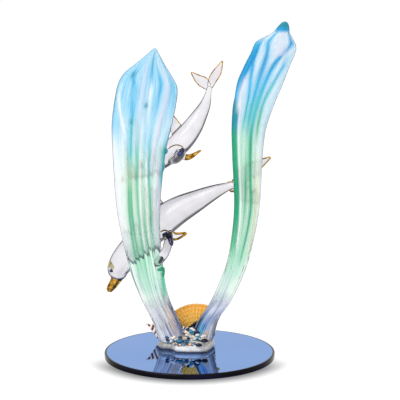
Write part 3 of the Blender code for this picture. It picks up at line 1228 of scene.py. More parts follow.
@dataclass
class Dolphin:
    """A dolphin of clear glass with a gilded beak and gilded fins.

    The spine runs from the tip of the beak to the root of the tail. Girth is the body's half
    height over the spine's length. The eye and the patch over it, a painted reflection of the
    gilded beak, are at a share of the spine and a turn round it in degrees, 0 on the back and 90
    on the viewer's side, and the mouth line runs between two shares at its own turn.
    """

    name: str
    spine: list[Place]
    girth: Course
    fins: list[Blade]
    beak_share: float = 0.082
    breadth: float = 0.94
    voxel: float = 0.34
    rim_radius: float = 0.46
    gilding: float = 0.14
    fin_gilding: float = 0.12
    eye: Span = (0.13, 53.0)
    eye_size: float = 0.0115
    eye_shape: Place = (1.0, 0.7, 0.85)
    eye_sunk: float = 0.15
    patch: Span = (0.152, 38.0)
    patch_reach: float = 0.013
    patch_slant: float = 0.006
    patch_turn: float = 30.0
    patch_proud: float = 0.06
    patch_thickness: float = 0.08
    mouth: Span = (0.01, 0.095)
    mouth_turn: float = 118.0
    mouth_radius: float = 0.16
    mouth_points: int = 12
    marks: tuple[Mark, ...] = ()
    bluntness: float = 0.6
    coat_bluntness: float = 0.1
    crowding: float = 1.25
    sides: int = 40
    rings: int = 110
    beak_rings: int = 16

    def skin(self, share: float, turn: float, proud: float = 0.0) -> Vector:
        """A point on the body.

        Args:
            share: the share of the way along the spine.
            turn: the turn round the spine in radians, 0 on the back and growing to the viewer's side.
            proud: how far the point stands out from the glass.

        Returns:
            The point.
        """
        line = Course.through(self.spine)
        along = line.ahead(share)
        back = along.cross(BACKWARDS).normalized()
        side = back.cross(along)
        size = self.girth.at(share) * line.length()
        out = back * math.cos(turn) - side * (math.sin(turn) * self.breadth)
        return line.at(share) + out * size + out.normalized() * proud

    def body(self) -> Form:
        """The body without its fins."""
        return self.length_of_body(1.0, 0.0, self.rings, self.bluntness)

    def beak(self) -> Form:
        """The coat of lustre round the beak."""
        return self.length_of_body(self.beak_share, self.gilding, self.beak_rings, self.coat_bluntness)

    def length_of_body(self, last: float, proud: float, rings: int, blunt: float) -> Form:
        """Draws the body from the beak's tip on.

        Args:
            last: the share of the spine where it ends.
            proud: how far it stands out from the glass.
            rings: how many rings it has.
            blunt: how far its end stands out, over the girth there.

        Returns:
            The closed form.
        """
        former = Former(self.sides)
        for share in evenly(rings):
            place = last * share**self.crowding
            former.draw([self.skin(place, turn, proud) for turn in even_turns(self.sides)])
        line = Course.through(self.spine)
        tip = self.girth.at(0.0) * line.length() * self.bluntness + proud
        start = line.at(0.0) - line.ahead(0.0) * tip
        end = line.at(last) + line.ahead(last) * (self.girth.at(last) * line.length() * blunt)
        return former.close(start, end)

    def build(self, glass: Material, gold: Material, beak_reflection: Material, dark: Material) -> None:
        """Makes the whole dolphin.

        Args:
            glass: the finish of its body and fins.
            gold: the finish of its beak, its fins' edges and its gold marks.
            beak_reflection: the finish of the patch over its eye, a painted reflection of the beak.
            dark: the finish of its eye, its mouth and its dark marks of painted shade.
        """
        self.blow(glass)
        self.gild(gold)
        self.face(beak_reflection, dark)
        for mark in self.marks:
            # Dark marks are painted shade; gold marks are gilding.
            finish, slot = (gold, "") if mark.gilt else (dark, "navy_glass")
            place_piece(f"{self.name}_{mark.name}", mark.form(), finish, slot)

    def blow(self, glass: Material) -> None:
        """Makes the body and the fins, fused in one piece.

        Args:
            glass: their finish.
        """
        whole = self.body()
        for fin in self.fins:
            part = bpy.data.meshes.new("part")
            loose = fin.form()
            loose.to_mesh(part)
            loose.free()
            whole.from_mesh(part)
            bpy.data.meshes.remove(part)
        piece = place_piece(self.name, whole, glass, "clear_glass", self.name)
        fuse = piece.modifiers.new("fused", "REMESH")
        fuse.mode = "VOXEL"
        fuse.voxel_size = self.voxel * MM
        fuse.use_smooth_shade = True
        soften = piece.modifiers.new("fire_polished", "SMOOTH")
        soften.factor = 0.5
        soften.iterations = 8
        settle(piece)
        LOG.info("%s fused: %d faces", self.name, len(piece.data.polygons))

    def gild(self, gold: Material) -> None:
        """Gilds the beak and the edges of the fins.

        Args:
            gold: the lustre.
        """
        place_piece(f"{self.name}_gold_beak", self.beak(), gold, "")
        for fin in self.fins:
            if fin.gilt_from is None:
                continue
            if fin.gilt_whole:
                gilt = fin.form(fin.gilt_from, self.fin_gilding)
            else:
                gilt = wire(fin.rim(fin.gilt_from), self.rim_radius * fin.gilt_girth)
            place_piece(f"{self.name}_gold_{fin.name}", gilt, gold, "")

    def eyeball(self) -> Form:
        """Forms the eye, an oval bead sunk in the skin.

        Returns:
            The bead.
        """
        share, turn = self.eye
        centre = self.skin(share, math.radians(turn), -self.eye_sunk)
        size = self.eye_size * Course.through(self.spine).length() * MM
        bead = bmesh.new()
        bmesh.ops.create_uvsphere(bead, u_segments=20, v_segments=12, radius=size)
        bmesh.ops.scale(bead, verts=bead.verts, vec=self.eye_shape)
        bmesh.ops.translate(bead, verts=bead.verts, vec=centre * MM)
        return bead

    def worn_patch(self) -> Form:
        """Forms the round patch over the eye, a painted reflection of the gilded beak in the head.

        Returns:
            The patch, without thickness.
        """
        share, turn = self.patch
        patch = bmesh.new()
        bmesh.ops.create_grid(patch, x_segments=20, y_segments=20, size=1.0)
        for vert in patch.verts:
            x, y = vert.co.x, vert.co.y
            wide, high = x * math.sqrt(1 - y * y / 2), y * math.sqrt(1 - x * x / 2)
            way_round = math.radians(turn + self.patch_turn * wide)
            along = share + self.patch_reach * high - self.patch_slant * wide
            vert.co = self.skin(along, way_round, self.patch_proud) * MM
        return patch

    def face(self, beak_reflection: Material, dark: Material) -> None:
        """Adds the eye, the painted reflection of the beak over it, and the mouth line.

        Args:
            beak_reflection: the patch's finish.
            dark: the finish of the eye and the mouth.
        """
        place_piece(f"{self.name}_eye", self.eyeball(), dark, "navy_glass")
        # The patch is a painted reflection of the gilded beak, seen through the glass of the head.
        patch = place_piece(f"{self.name}_worn_patch", self.worn_patch(), beak_reflection, "")
        coat = patch.modifiers.new("coat", "SOLIDIFY")
        coat.thickness = self.patch_thickness * MM
        start, end = self.mouth
        turn = math.radians(self.mouth_turn)
        line = [self.skin(start + (end - start) * k, turn, self.gilding) for k in evenly(self.mouth_points)]
        place_piece(f"{self.name}_mouth", wire(line, self.mouth_radius), dark, "navy_glass")


@dataclass
class Puddle:
    """The low puddle of clear glass that holds the feet, and the frit and chips melted into it.

    The profile pairs a share of the way out to the outline with a height over the bottom, from
    the underside to the top. Each foot is given by its middle, half width, depth and half
    thickness at the chips' height.
    """

    centre: Span
    outline: list[Span]
    profile: tuple[Span, ...]
    bottom: float
    sides: int = 144
    rings: int = 26
    grains: int = 30
    grain_sizes: Span = (0.45, 1.0)
    frit_across: Place = (-10.0, 7.0, -3.0)
    frit_depths: Span = (-3.4, 1.6)
    chip_count: int = 16
    chip_sizes: Span = (0.6, 1.3)
    chips_across: Span = (-15.0, 10.0)
    gap_sizes: Span = (0.8, 1.4)
    gap_depths: Span = (6.0, 9.0)
    gap_heights: Span = (8.4, 15.0)
    gap_from: float = 7.7
    gap_half: float = 0.4
    gap_opening: float = 0.41
    feet: tuple[tuple[float, float, float, float], ...] = ((-9.6, 9.0, 8.0, 6.2), (7.4, 6.8, 10.0, 5.7))
    seed: int = 7

    def edge(self, turn: float) -> Vector:
        """A point of the outline, for a share of the way round."""
        closed = Course.through(self.outline + self.outline[:2])
        return closed.at(closed.stations[len(self.outline)][0] * turn)

    def form(self) -> Form:
        """Draws the puddle's glass.

        Returns:
            The closed form.
        """
        steps = evenly(len(self.profile))
        shares = Course(tuple((step, share) for step, (share, _) in zip(steps, self.profile)))
        heights = Course(tuple((step, height) for step, (_, height) in zip(steps, self.profile)))
        former = Former(self.sides)
        middle = Vector(self.centre)
        for step in evenly(self.rings):
            ring = []
            for j in range(self.sides):
                place = middle + (self.edge((j + 0.5) / self.sides) - middle) * shares.at(step)
                ring.append(Vector((place[0], place[1], self.bottom + heights.at(step))))
            former.draw(ring)
        top = Vector((*self.centre, self.bottom + self.profile[-1][1]))
        return former.close(Vector((*self.centre, self.bottom)), top)

    def grain(self, grains: Form, draw: random.Random, size: float, place: Vector) -> None:
        """Adds one lump.

        Args:
            grains: the lumps so far.
            draw: what its shape and its turn are drawn from.
            size: about half its length.
            place: its middle.
        """
        shape = (size * draw.uniform(0.8, 1.6), size * draw.uniform(0.7, 1.2), size * draw.uniform(0.5, 0.9))
        verts = bmesh.ops.create_icosphere(grains, subdivisions=2, radius=MM)["verts"]
        turn = Matrix.Rotation(draw.uniform(-0.9, 0.9), 3, "Y")
        bmesh.ops.scale(grains, verts=verts, vec=shape)
        bmesh.ops.rotate(grains, verts=verts, matrix=turn)
        bmesh.ops.translate(grains, verts=verts, vec=place * MM)

    def frit(self, finishes: list[tuple[Material, str, str]]) -> None:
        """Scatters crushed shell and frit on the glass in front of the feet.

        Args:
            finishes: a material, a slot and a name for each kind of grain.
        """
        draw = random.Random(self.seed)
        for finish, slot, name in finishes:
            grains = bmesh.new()
            for _ in range(self.grains):
                size = draw.uniform(*self.grain_sizes)
                x = draw.triangular(*self.frit_across)
                y = draw.uniform(*self.frit_depths)
                high = self.bottom + self.profile[-1][1] - 0.25 * max(-y - 1.0, 0.0)
                self.grain(grains, draw, size, Vector((x, y, high)))
            place_piece(name, grains, finish, slot)

    def foot_front(self, x: float) -> float:
        """How far forward the feet's glass reaches at a place across, or between them."""
        faces = [
            depth - thick * math.sqrt(1 - ((x - middle) / wide) ** 2)
            for middle, wide, depth, thick in self.feet
            if abs(x - middle) < wide
        ]
        return min(faces + [7.0])

    def chips(self, finishes: list[tuple[Material, str, str]]) -> None:
        """Melts chips of glass and shell onto the front of the feet and into the gap between them.

        Args:
            finishes: a material, a slot and a name for each kind of chip.
        """
        draw = random.Random(self.seed + 1)
        for finish, slot, name in finishes:
            chips = bmesh.new()
            for _ in range(self.chip_count):
                x = draw.uniform(*self.chips_across)
                high = 8.0 + (3.2 + 4.6 * math.exp(-(((x - 1.0) / 4.0) ** 2))) * draw.random() ** 1.4
                self.grain(chips, draw, draw.uniform(*self.chip_sizes), Vector((x, self.foot_front(x), high)))
            for _ in range(self.chip_count // 2):
                high = draw.uniform(*self.gap_heights)
                half_gap = self.gap_half + self.gap_opening * (high - self.gap_from)
                spot = Vector((draw.uniform(-half_gap, half_gap), draw.uniform(*self.gap_depths), high))
                self.grain(chips, draw, draw.uniform(*self.gap_sizes), spot)
            place_piece(name, chips, finish, slot)

    def build(self, glass: Material) -> None:
        """Makes the finished puddle."""
        place_piece("glass_pool", self.form(), glass, "clear_glass", "glass_pool")


@dataclass
class Scallop:
    """One valve of a scallop, standing on its hinge and leaning back.

    Spread is half the fan's angle. The hinge's share is how wide the fan is there over how wide
    it is at the rim, and its reach is how far it begins from the fan's point.
    """

    hinge: Place
    radius: float
    spread: float
    ribs: int
    dome: float
    wall: float
    tilt: float
    lean: float
    rib_height: float = 0.36
    arc_height: float = 0.06
    hinge_share: float = 0.74
    hinge_reach: float = 0.10
    hinge_half: float = 1.6
    corner_reach: float = 0.07
    rim_ripple: float = 0.005

    def point(self, across: float, up: float) -> Vector:
        """A point of the fan's outer face.

        Args:
            across: the place across, from -1 to 1.
            up: the share of the way from the hinge to the rim.

        Returns:
            The point.
        """
        angle = across * self.spread * (self.hinge_share + (1.0 - self.hinge_share) * up)
        rib = math.cos(across * math.pi * self.ribs)
        reach = self.radius * (self.hinge_reach + (1.0 - self.hinge_reach) * up)
        reach *= 1 + self.corner_reach * across**2 * up + self.rim_ripple * rib * up
        bulge = self.dome * math.sqrt(max(math.sin(math.pi * up), 0.0)) * (1 - across**2)
        bulge += self.rib_height * rib * up + self.arc_height * math.sin(GROWTH_ARCS * up) * up
        x = reach * math.sin(angle) + self.hinge_half * across * (1 - up)
        z = reach * math.cos(angle)
        stand = Matrix.Rotation(self.lean, 3, "Y") @ Matrix.Rotation(self.tilt, 3, "X")
        return Vector(self.hinge) + stand @ Vector((x, -bulge, z))

    def build(self, finish: Material) -> None:
        """Makes the finished shell.

        Args:
            finish: its material.
        """
        mesh = bmesh.new()
        reach = mesh.verts.layers.float.new("reach")
        valley = mesh.verts.layers.float.new("valley")
        bmesh.ops.create_grid(mesh, x_segments=12 * self.ribs, y_segments=60, size=1.0)
        for vert in mesh.verts:
            across, up = vert.co.x, (vert.co.y + 1) / 2
            vert[reach] = up
            # The valleys between the ribs, where the finish paints shade.
            vert[valley] = (1 - math.cos(across * math.pi * self.ribs)) / 2
            vert.co = self.point(across, up) * MM
        shell = place_piece("scallop_shell", mesh, finish, "amber_shell", "scallop_shell")
        wall = shell.modifiers.new("wall", "SOLIDIFY")
        wall.thickness = self.wall * MM
        wall.offset = 0.0


@dataclass
class SpiralShell:
    """A spiral shell: one tube wound in growing whorls round an axis from its tip to its base.

    The tube is wider than its pitch by the overlap. It is thinnest at the tip and grows evenly.
    """

    name: str
    tip: Place
    base: Place
    radius: float
    whorls: float
    overlap: float = 1.25
    thinnest: float = 0.35
    growth: float = 0.95
    sides: int = 20
    steps: int = 34

    def form(self) -> Form:
        """Winds the tube.

        Returns:
            The closed tube.
        """
        axis = Vector(self.base) - Vector(self.tip)
        down = axis.normalized()
        one = down.cross(BACKWARDS).normalized()
        two = down.cross(one)
        former = Former(self.sides, ("round",))
        count = round(self.whorls * self.steps)
        tube = 0.5 * axis.length / self.whorls * self.overlap
        for k in range(count):
            grown = (k + 2) / (count + 1)
            angle = 2 * math.pi * self.whorls * k / count
            out = one * math.cos(angle) + two * math.sin(angle)
            thick = tube * (self.thinnest + self.growth * grown) * (0.4 if k == 0 else 1.0)
            swing = max(self.radius * grown - thick * 0.72, 0.05)
            centre = Vector(self.tip) + down * (axis.length * grown - thick * 0.45) + out * swing
            turns = even_turns(self.sides)
            ring = [centre + (out * math.cos(a) * 0.85 + down * math.sin(a)) * thick for a in turns]
            former.draw(ring, round=[j / self.sides for j in range(self.sides)])
        return former.close(Vector(self.tip), centre)

    def build(self, finish: Material) -> None:
        """Makes the finished shell."""
        place_piece(self.name, self.form(), finish, "banded_shell", self.name)


@dataclass
class Pebble:
    """A flattened drop or chip of coloured glass. Packed tells whether it has a solid of its own."""

    name: str
    middle: Place
    half_sizes: Place
    slot: str
    seed: int
    turn: float = 0.0
    packed: bool = True
    dents: int = 4
    dent_depth: float = 0.03

    def build(self, finish: Material) -> None:
        """Makes the finished pebble.

        Args:
            finish: its material.
        """
        draw = random.Random(self.seed)
        mesh = bmesh.new()
        bmesh.ops.create_icosphere(mesh, subdivisions=4, radius=1.0)
        waves = [
            (Vector([draw.uniform(-1, 1) for _ in range(3)]), draw.uniform(0, 6))
            for _ in range(self.dents)
        ]
        for vert in mesh.verts:
            dent = sum(math.sin(3.0 * vert.co.dot(way) + start) for way, start in waves)
            vert.co *= 1 - self.dent_depth * (dent + 2.0)
        bmesh.ops.scale(mesh, verts=mesh.verts, vec=Vector(self.half_sizes) * MM)
        bmesh.ops.rotate(mesh, verts=mesh.verts, matrix=Matrix.Rotation(math.radians(self.turn), 3, "Y"))
        bmesh.ops.translate(mesh, verts=mesh.verts, vec=Vector(self.middle) * MM)
        nodes = (self.name,) if self.packed else ()
        place_piece(self.name, mesh, finish, self.slot, *nodes)


@dataclass
class MirrorBase:
    """The round mirror, with a bevel round its top and bottom edges and a ground rim."""

    radius: float = 50.8
    thickness: float = 3.2
    bevel: float = 0.5
    ground_rim: float = 0.8
    sides: int = 192

    def build(self, mirror: Material, edge: Material) -> None:
        """Makes the finished base.

        Args:
            mirror: the finish of its top.
            edge: the finish of its rim and the rest.
        """
        mesh = bmesh.new()
        bmesh.ops.create_cone(
            mesh,
            cap_ends=True,
            segments=self.sides,
            radius1=self.radius * MM,
            radius2=self.radius * MM,
            depth=self.thickness * MM,
        )
        bmesh.ops.translate(mesh, verts=mesh.verts, vec=(0.0, 0.0, self.thickness * MM / 2))
        corners = [e for e in mesh.edges if e.calc_face_angle(0.0) > math.radians(60)]
        bmesh.ops.bevel(
            mesh, geom=corners, offset=self.bevel * MM, segments=2, profile=0.5, affect="EDGES", material=-1
        )
        top = [face for face in mesh.faces if face.normal.z > 0.99]
        bmesh.ops.inset_region(mesh, faces=top, thickness=self.ground_rim * MM)
        for face in mesh.faces:
            face.material_index = 1
        for face in top:
            face.material_index = 0
        base = place_piece("mirror_disc", mesh, mirror, "blue_mirror", "mirror_disc")
        base.data.materials.append(edge)
        base.data.set_sharp_from_angle(angle=math.radians(20))


class Softness(Enum):
    """How large a light is, as its width over its distance."""

    CRISP = 0.35
    SOFT = 0.9


@dataclass
class Studio:
    """The floor, the light and the camera. The floor and the lights are in metres."""

    distance: float = 1000.0
    elevation: float = 15.5
    pitch: float = 10.334
    aim_x: float = 6.2
    lens: float = 150.0
    sensor: float = 36.0
    floor_half: float = 6.0
    lit: Place = (0.0, 0.0, 0.1)
    side_light: float = 0.45
    top_light: float = 0.55
    front_light: float = 1.2

    def floor(self, finish: Material) -> None:
        """Lays a plain pale floor.

        Args:
            finish: its material.
        """
        mesh = bmesh.new()
        bmesh.ops.create_grid(mesh, x_segments=2, y_segments=2, size=self.floor_half)
        data = bpy.data.meshes.new("floor")
        mesh.to_mesh(data)
        mesh.free()
        data.materials.append(finish)
        floor = bpy.data.objects.new("floor", data)
        bpy.context.scene.collection.objects.link(floor)

    def sky(self) -> None:
        """White light from all round: brighter from the front, dimmer overhead and at both sides."""
        world = bpy.data.worlds.new("studio")
        world.use_nodes = True
        bpy.context.scene.world = world
        nodes = Nodes(world.node_tree)
        way = nodes.add("TexCoord").outputs["Generated"]
        to_side = nodes.calculate("ABSOLUTE", nodes.split(way, "X"))
        bands = (
            (to_side, 0.60, 0.88, self.side_light),
            (nodes.split(way, "Z"), 0.38, 0.62, self.top_light),
            (nodes.split(way, "Y"), -0.1, -0.6, self.front_light),
        )
        strength = 1.0
        for socket, low, high, share in bands:
            strength = nodes.times(strength, nodes.step(socket, low, high, (1.0, share)))
        background = world.node_tree.nodes["Background"]
        nodes.feed(background.inputs["Strength"], strength)
        nodes.feed(background.inputs["Color"], (1.0, 1.0, 1.0))

    def light(self, name: str, place: Place, power: float, softness: Softness) -> None:
        """Adds a square soft light that faces the figurine.

        Args:
            name: the light's name.
            place: where it stands.
            power: its power in watts.
            softness: how large it is.
        """
        data = bpy.data.lights.new(name, "AREA")
        away = Vector(place) - Vector(self.lit)
        data.size = away.length * softness.value
        data.energy = power
        lamp = bpy.data.objects.new(name, data)
        lamp.location = place
        lamp.rotation_mode = "QUATERNION"
        lamp.rotation_quaternion = away.to_track_quat("Z", "Y")
        bpy.context.scene.collection.objects.link(lamp)

    def camera(self) -> None:
        """A long lens at the photograph's height and distance."""
        data = bpy.data.cameras.new("camera")
        data.lens = self.lens
        data.sensor_width = self.sensor
        camera = bpy.data.objects.new("camera", data)
        rise = math.radians(self.elevation)
        back = -self.distance * math.cos(rise)
        up = self.distance * math.sin(rise) + MirrorBase.thickness
        camera.location = Vector((self.aim_x, back, up)) * MM
        camera.rotation_euler = (math.radians(90.0 - self.pitch), 0.0, 0.0)
        bpy.context.scene.collection.objects.link(camera)
        bpy.context.scene.camera = camera

    def build(self) -> None:
        """The whole studio."""
        self.camera()
        self.floor(FloorFinish("pale_table").make())
        self.sky()
        self.light("key_light", (-0.9, -1.0, 1.5), 30.0, Softness.SOFT)
        self.light("rim_light", (1.1, 0.5, 1.1), 7.0, Softness.CRISP)
        bpy.context.scene.view_settings.view_transform = "Standard"


FOOT = 7.72
POOL_BOTTOM = 3.5
PALE_SLOT = "pale_blue_and_green_glass"
RELIEF = Course.of((0.0, 0.7), (0.2, 0.9), (0.5, 1.0), (0.85, 1.0), (0.96, 0.6), (1.0, 0.0))
CLEAR_FOOT = (0.0, Glass.CLEAR)

# Short dark and brown streaks in the left wave's foot, and thin dark lines on its edges.
LEFT_STREAKS = streaks(
    Cane(((0.66, -0.985), (0.84, -0.985)), ((0.66, Glass.TEAL),), width=0.02, strength=0.8),
    Cane(((0.64, 0.97), (0.73, 0.98)), ((0.64, Glass.SLATE), (0.73, Glass.NAVY)), width=0.02, strength=0.8),
    Cane(
        ((0.02, 0.02), (0.04, -0.01), (0.08, -0.12), (0.125, -0.17)),
        ((0.02, Glass.NAVY), (0.08, Glass.NAVY), (0.125, Glass.SLATE)),
        width=0.040,
    ),
    Cane(((0.02, 0.10), (0.077, 0.0)), ((0.02, Glass.UMBER),), width=0.035),
    Cane(((0.03, 0.50), (0.052, 0.48), (0.12, 0.44)), ((0.03, Glass.APRICOT),), width=0.06),
    Cane(((0.02, 0.30), (0.07, 0.24)), ((0.02, Glass.SLATE),), width=0.035),
    Cane(((0.05, -0.50), (0.135, -0.67)), ((0.05, Glass.SLATE),), width=0.035),
    Cane(((0.185, -0.63), (0.235, -0.64)), ((0.185, Glass.SLATE),), width=0.035),
    Cane(((0.02, -0.80), (0.12, -0.86)), ((0.02, Glass.WHITE),), width=0.12),
    Cane(((0.02, -0.30), (0.12, -0.38)), ((0.02, Glass.WHITE),), width=0.08),
)
# Broad washes, then the long folds from left to right with a painted highlight among them,
# then white threads and dark flecks.
LEFT_CANES = LEFT_STREAKS + [
    Cane(
        ((0.15, -0.20), (0.22, 0.0), (0.30, -0.05), (0.38, -0.10)),
        ((0.15, Glass.PALE_MINT), (0.20, Glass.MINT), (0.30, Glass.MINT), (0.38, Glass.PALE_MINT)),
        width=0.45, strength=0.7, groove=0.0,
    ),
    Cane(
        ((0.0, -0.98), (0.45, -0.95), (0.66, -0.93), (0.76, -0.95)),
        ((0.0, Glass.CLEAR), (0.66, Glass.CLEAR), (0.76, Glass.SKY)),
        width=0.36, strength=1.0, groove=0.0, fade=0.08,
    ),
    Cane(
        ((0.62, -0.74), (0.75, -0.80), (0.90, -0.86)),
        ((0.62, Glass.PALE_SKY), (0.75, Glass.SKY), (0.9, Glass.SKY)),
        width=0.12, strength=0.6, groove=0.3,
    ),
    # A painted highlight: a white streak where the front of the glass reflects the light.
    Cane(
        ((0.58, -0.42), (0.63, -0.43), (0.71, -0.53), (0.78, -0.72), (0.84, -0.88)),
        ((0.58, Glass.CLEAR), (0.84, Glass.WHITE)),
        width=0.06, groove=0.6,
    ),
    Cane(
        ((0.10, -0.55), (0.29, -0.50), (0.43, -0.44), (0.56, -0.40), (0.72, -0.44)),
        (
            (0.10, Glass.CLEAR), (0.29, Glass.GREEN), (0.43, Glass.EMERALD), (0.56, Glass.GREEN),
            (0.72, Glass.SKY),
        ),
        width=0.08, strength=0.85, groove=0.5,
    ),
    Cane(
        ((0.08, -0.26), (0.29, -0.29), (0.43, -0.30), (0.66, -0.30), (0.78, -0.36), (0.9, -0.5)),
        (
            (0.08, Glass.SMOKE), (0.20, Glass.MINT), (0.32, Glass.GREEN), (0.44, Glass.EMERALD),
            (0.52, Glass.GREEN), (0.62, Glass.TURQUOISE), (0.72, Glass.TURQUOISE), (0.80, Glass.CYAN),
            (0.9, Glass.SKY),
        ),
        width=0.08,
    ),
    Cane(
        (
            (0.05, 0.02), (0.29, -0.02), (0.43, 0.00), (0.56, -0.05), (0.70, -0.10), (0.83, -0.28),
            (0.90, -0.57),
        ),
        (
            (0.05, Glass.SLATE), (0.16, Glass.SMOKE), (0.29, Glass.GREEN), (0.40, Glass.GREEN),
            (0.50, Glass.GREEN), (0.74, Glass.TURQUOISE), (0.80, Glass.SKY), (0.9, Glass.CYAN),
        ),
        width=0.09, strength=0.8,
    ),
    Cane(
        ((0.05, 0.30), (0.22, 0.38), (0.36, 0.30), (0.50, 0.25), (0.66, 0.20), (0.84, 0.13), (0.97, 0.14)),
        (
            (0.05, Glass.APRICOT), (0.12, Glass.SMOKE), (0.22, Glass.MINT), (0.36, Glass.GREEN),
            (0.55, Glass.MINT), (0.70, Glass.SKY), (0.85, Glass.WHITE), (0.92, Glass.CYAN),
            (0.97, Glass.TEAL),
        ),
        width=0.07, groove=0.6,
    ),
    Cane(
        ((0.10, 0.58), (0.25, 0.62), (0.45, 0.55), (0.63, 0.39), (0.73, 0.36), (0.80, 0.40), (0.90, 0.48)),
        (
            (0.10, Glass.APRICOT), (0.18, Glass.SMOKE), (0.25, Glass.MINT), (0.45, Glass.GREEN),
            (0.63, Glass.TURQUOISE), (0.75, Glass.SKY), (0.9, Glass.CYAN),
        ),
        width=0.08,
    ),
    Cane(
        ((0.56, 0.60), (0.63, 0.66), (0.71, 0.69), (0.80, 0.72), (0.88, 0.80)),
        ((0.56, Glass.PALE_MINT), (0.66, Glass.PALE_SKY), (0.75, Glass.SKY), (0.88, Glass.CYAN)),
        width=0.09, strength=0.6,
    ),
    Cane(
        ((0.70, -0.12), (0.80, -0.12), (0.90, -0.16), (0.97, -0.30)),
        ((0.70, Glass.LILAC),),
        width=0.10, strength=0.55, groove=-0.25,
    ),
    Cane(
        ((0.62, 0.52), (0.72, 0.56), (0.84, 0.66), (0.92, 0.70)),
        ((0.62, Glass.LILAC),),
        width=0.08, strength=0.8, groove=-0.2,
    ),
    Cane(
        (
            (0.03, 0.84), (0.12, 0.88), (0.155, 0.76), (0.19, 0.84), (0.24, 0.95), (0.40, 0.97),
            (0.58, 0.95), (0.70, 0.97),
        ),
        (
            (0.03, Glass.COBALT), (0.11, Glass.SLATE), (0.145, Glass.SMOKE), (0.17, Glass.EMERALD),
            (0.27, Glass.EMERALD), (0.33, Glass.PALE_MINT), (0.50, Glass.LILAC),
            (0.58, Glass.TURQUOISE), (0.66, Glass.TURQUOISE), (0.70, Glass.SKY),
        ),
        width=0.15, strength=1.0, groove=0.2,
    ),
    Cane(
        ((0.20, 0.12), (0.30, 0.14), (0.50, 0.11), (0.62, 0.06)),
        ((0.20, Glass.WHITE),),
        width=0.035, groove=-0.2,
    ),
    Cane(
        ((0.22, 0.50), (0.36, 0.44), (0.50, 0.40), (0.62, 0.30)),
        ((0.22, Glass.WHITE),),
        width=0.04, groove=-0.2,
    ),
    Cane(((0.34, 0.78), (0.50, 0.76), (0.60, 0.78)), ((0.34, Glass.LILAC),), width=0.10, groove=0.0),
    Cane(((0.57, -0.32), (0.60, -0.32)), ((0.57, Glass.LIME),), width=0.14, strength=0.45, groove=0.0),
    *flecks(
        Cane(((0.806, 0.04), (0.812, 0.04)), ((0.81, Glass.TEAL),), strength=0.8, fade=0.01),
        Cane(((0.752, -0.36), (0.758, -0.38)), ((0.75, Glass.TEAL),), strength=0.7, fade=0.01),
        Cane(((0.904, -0.62), (0.912, -0.64)), ((0.90, Glass.TEAL),), strength=0.8, fade=0.015),
    ),
]
# Short streaks in the right wave's foot.
RIGHT_STREAKS = streaks(
    Cane(((0.075, 0.12), (0.12, 0.0)), ((0.075, Glass.SLATE),), width=0.04),
    Cane(
        ((0.10, -0.88), (0.135, -0.70)),
        ((0.10, Glass.SLATE), (0.135, Glass.SMOKE)),
        width=0.22, strength=0.7,
    ),
    Cane(((0.03, 0.80), (0.10, 0.84)), ((0.03, Glass.WHITE),), width=0.12),
)
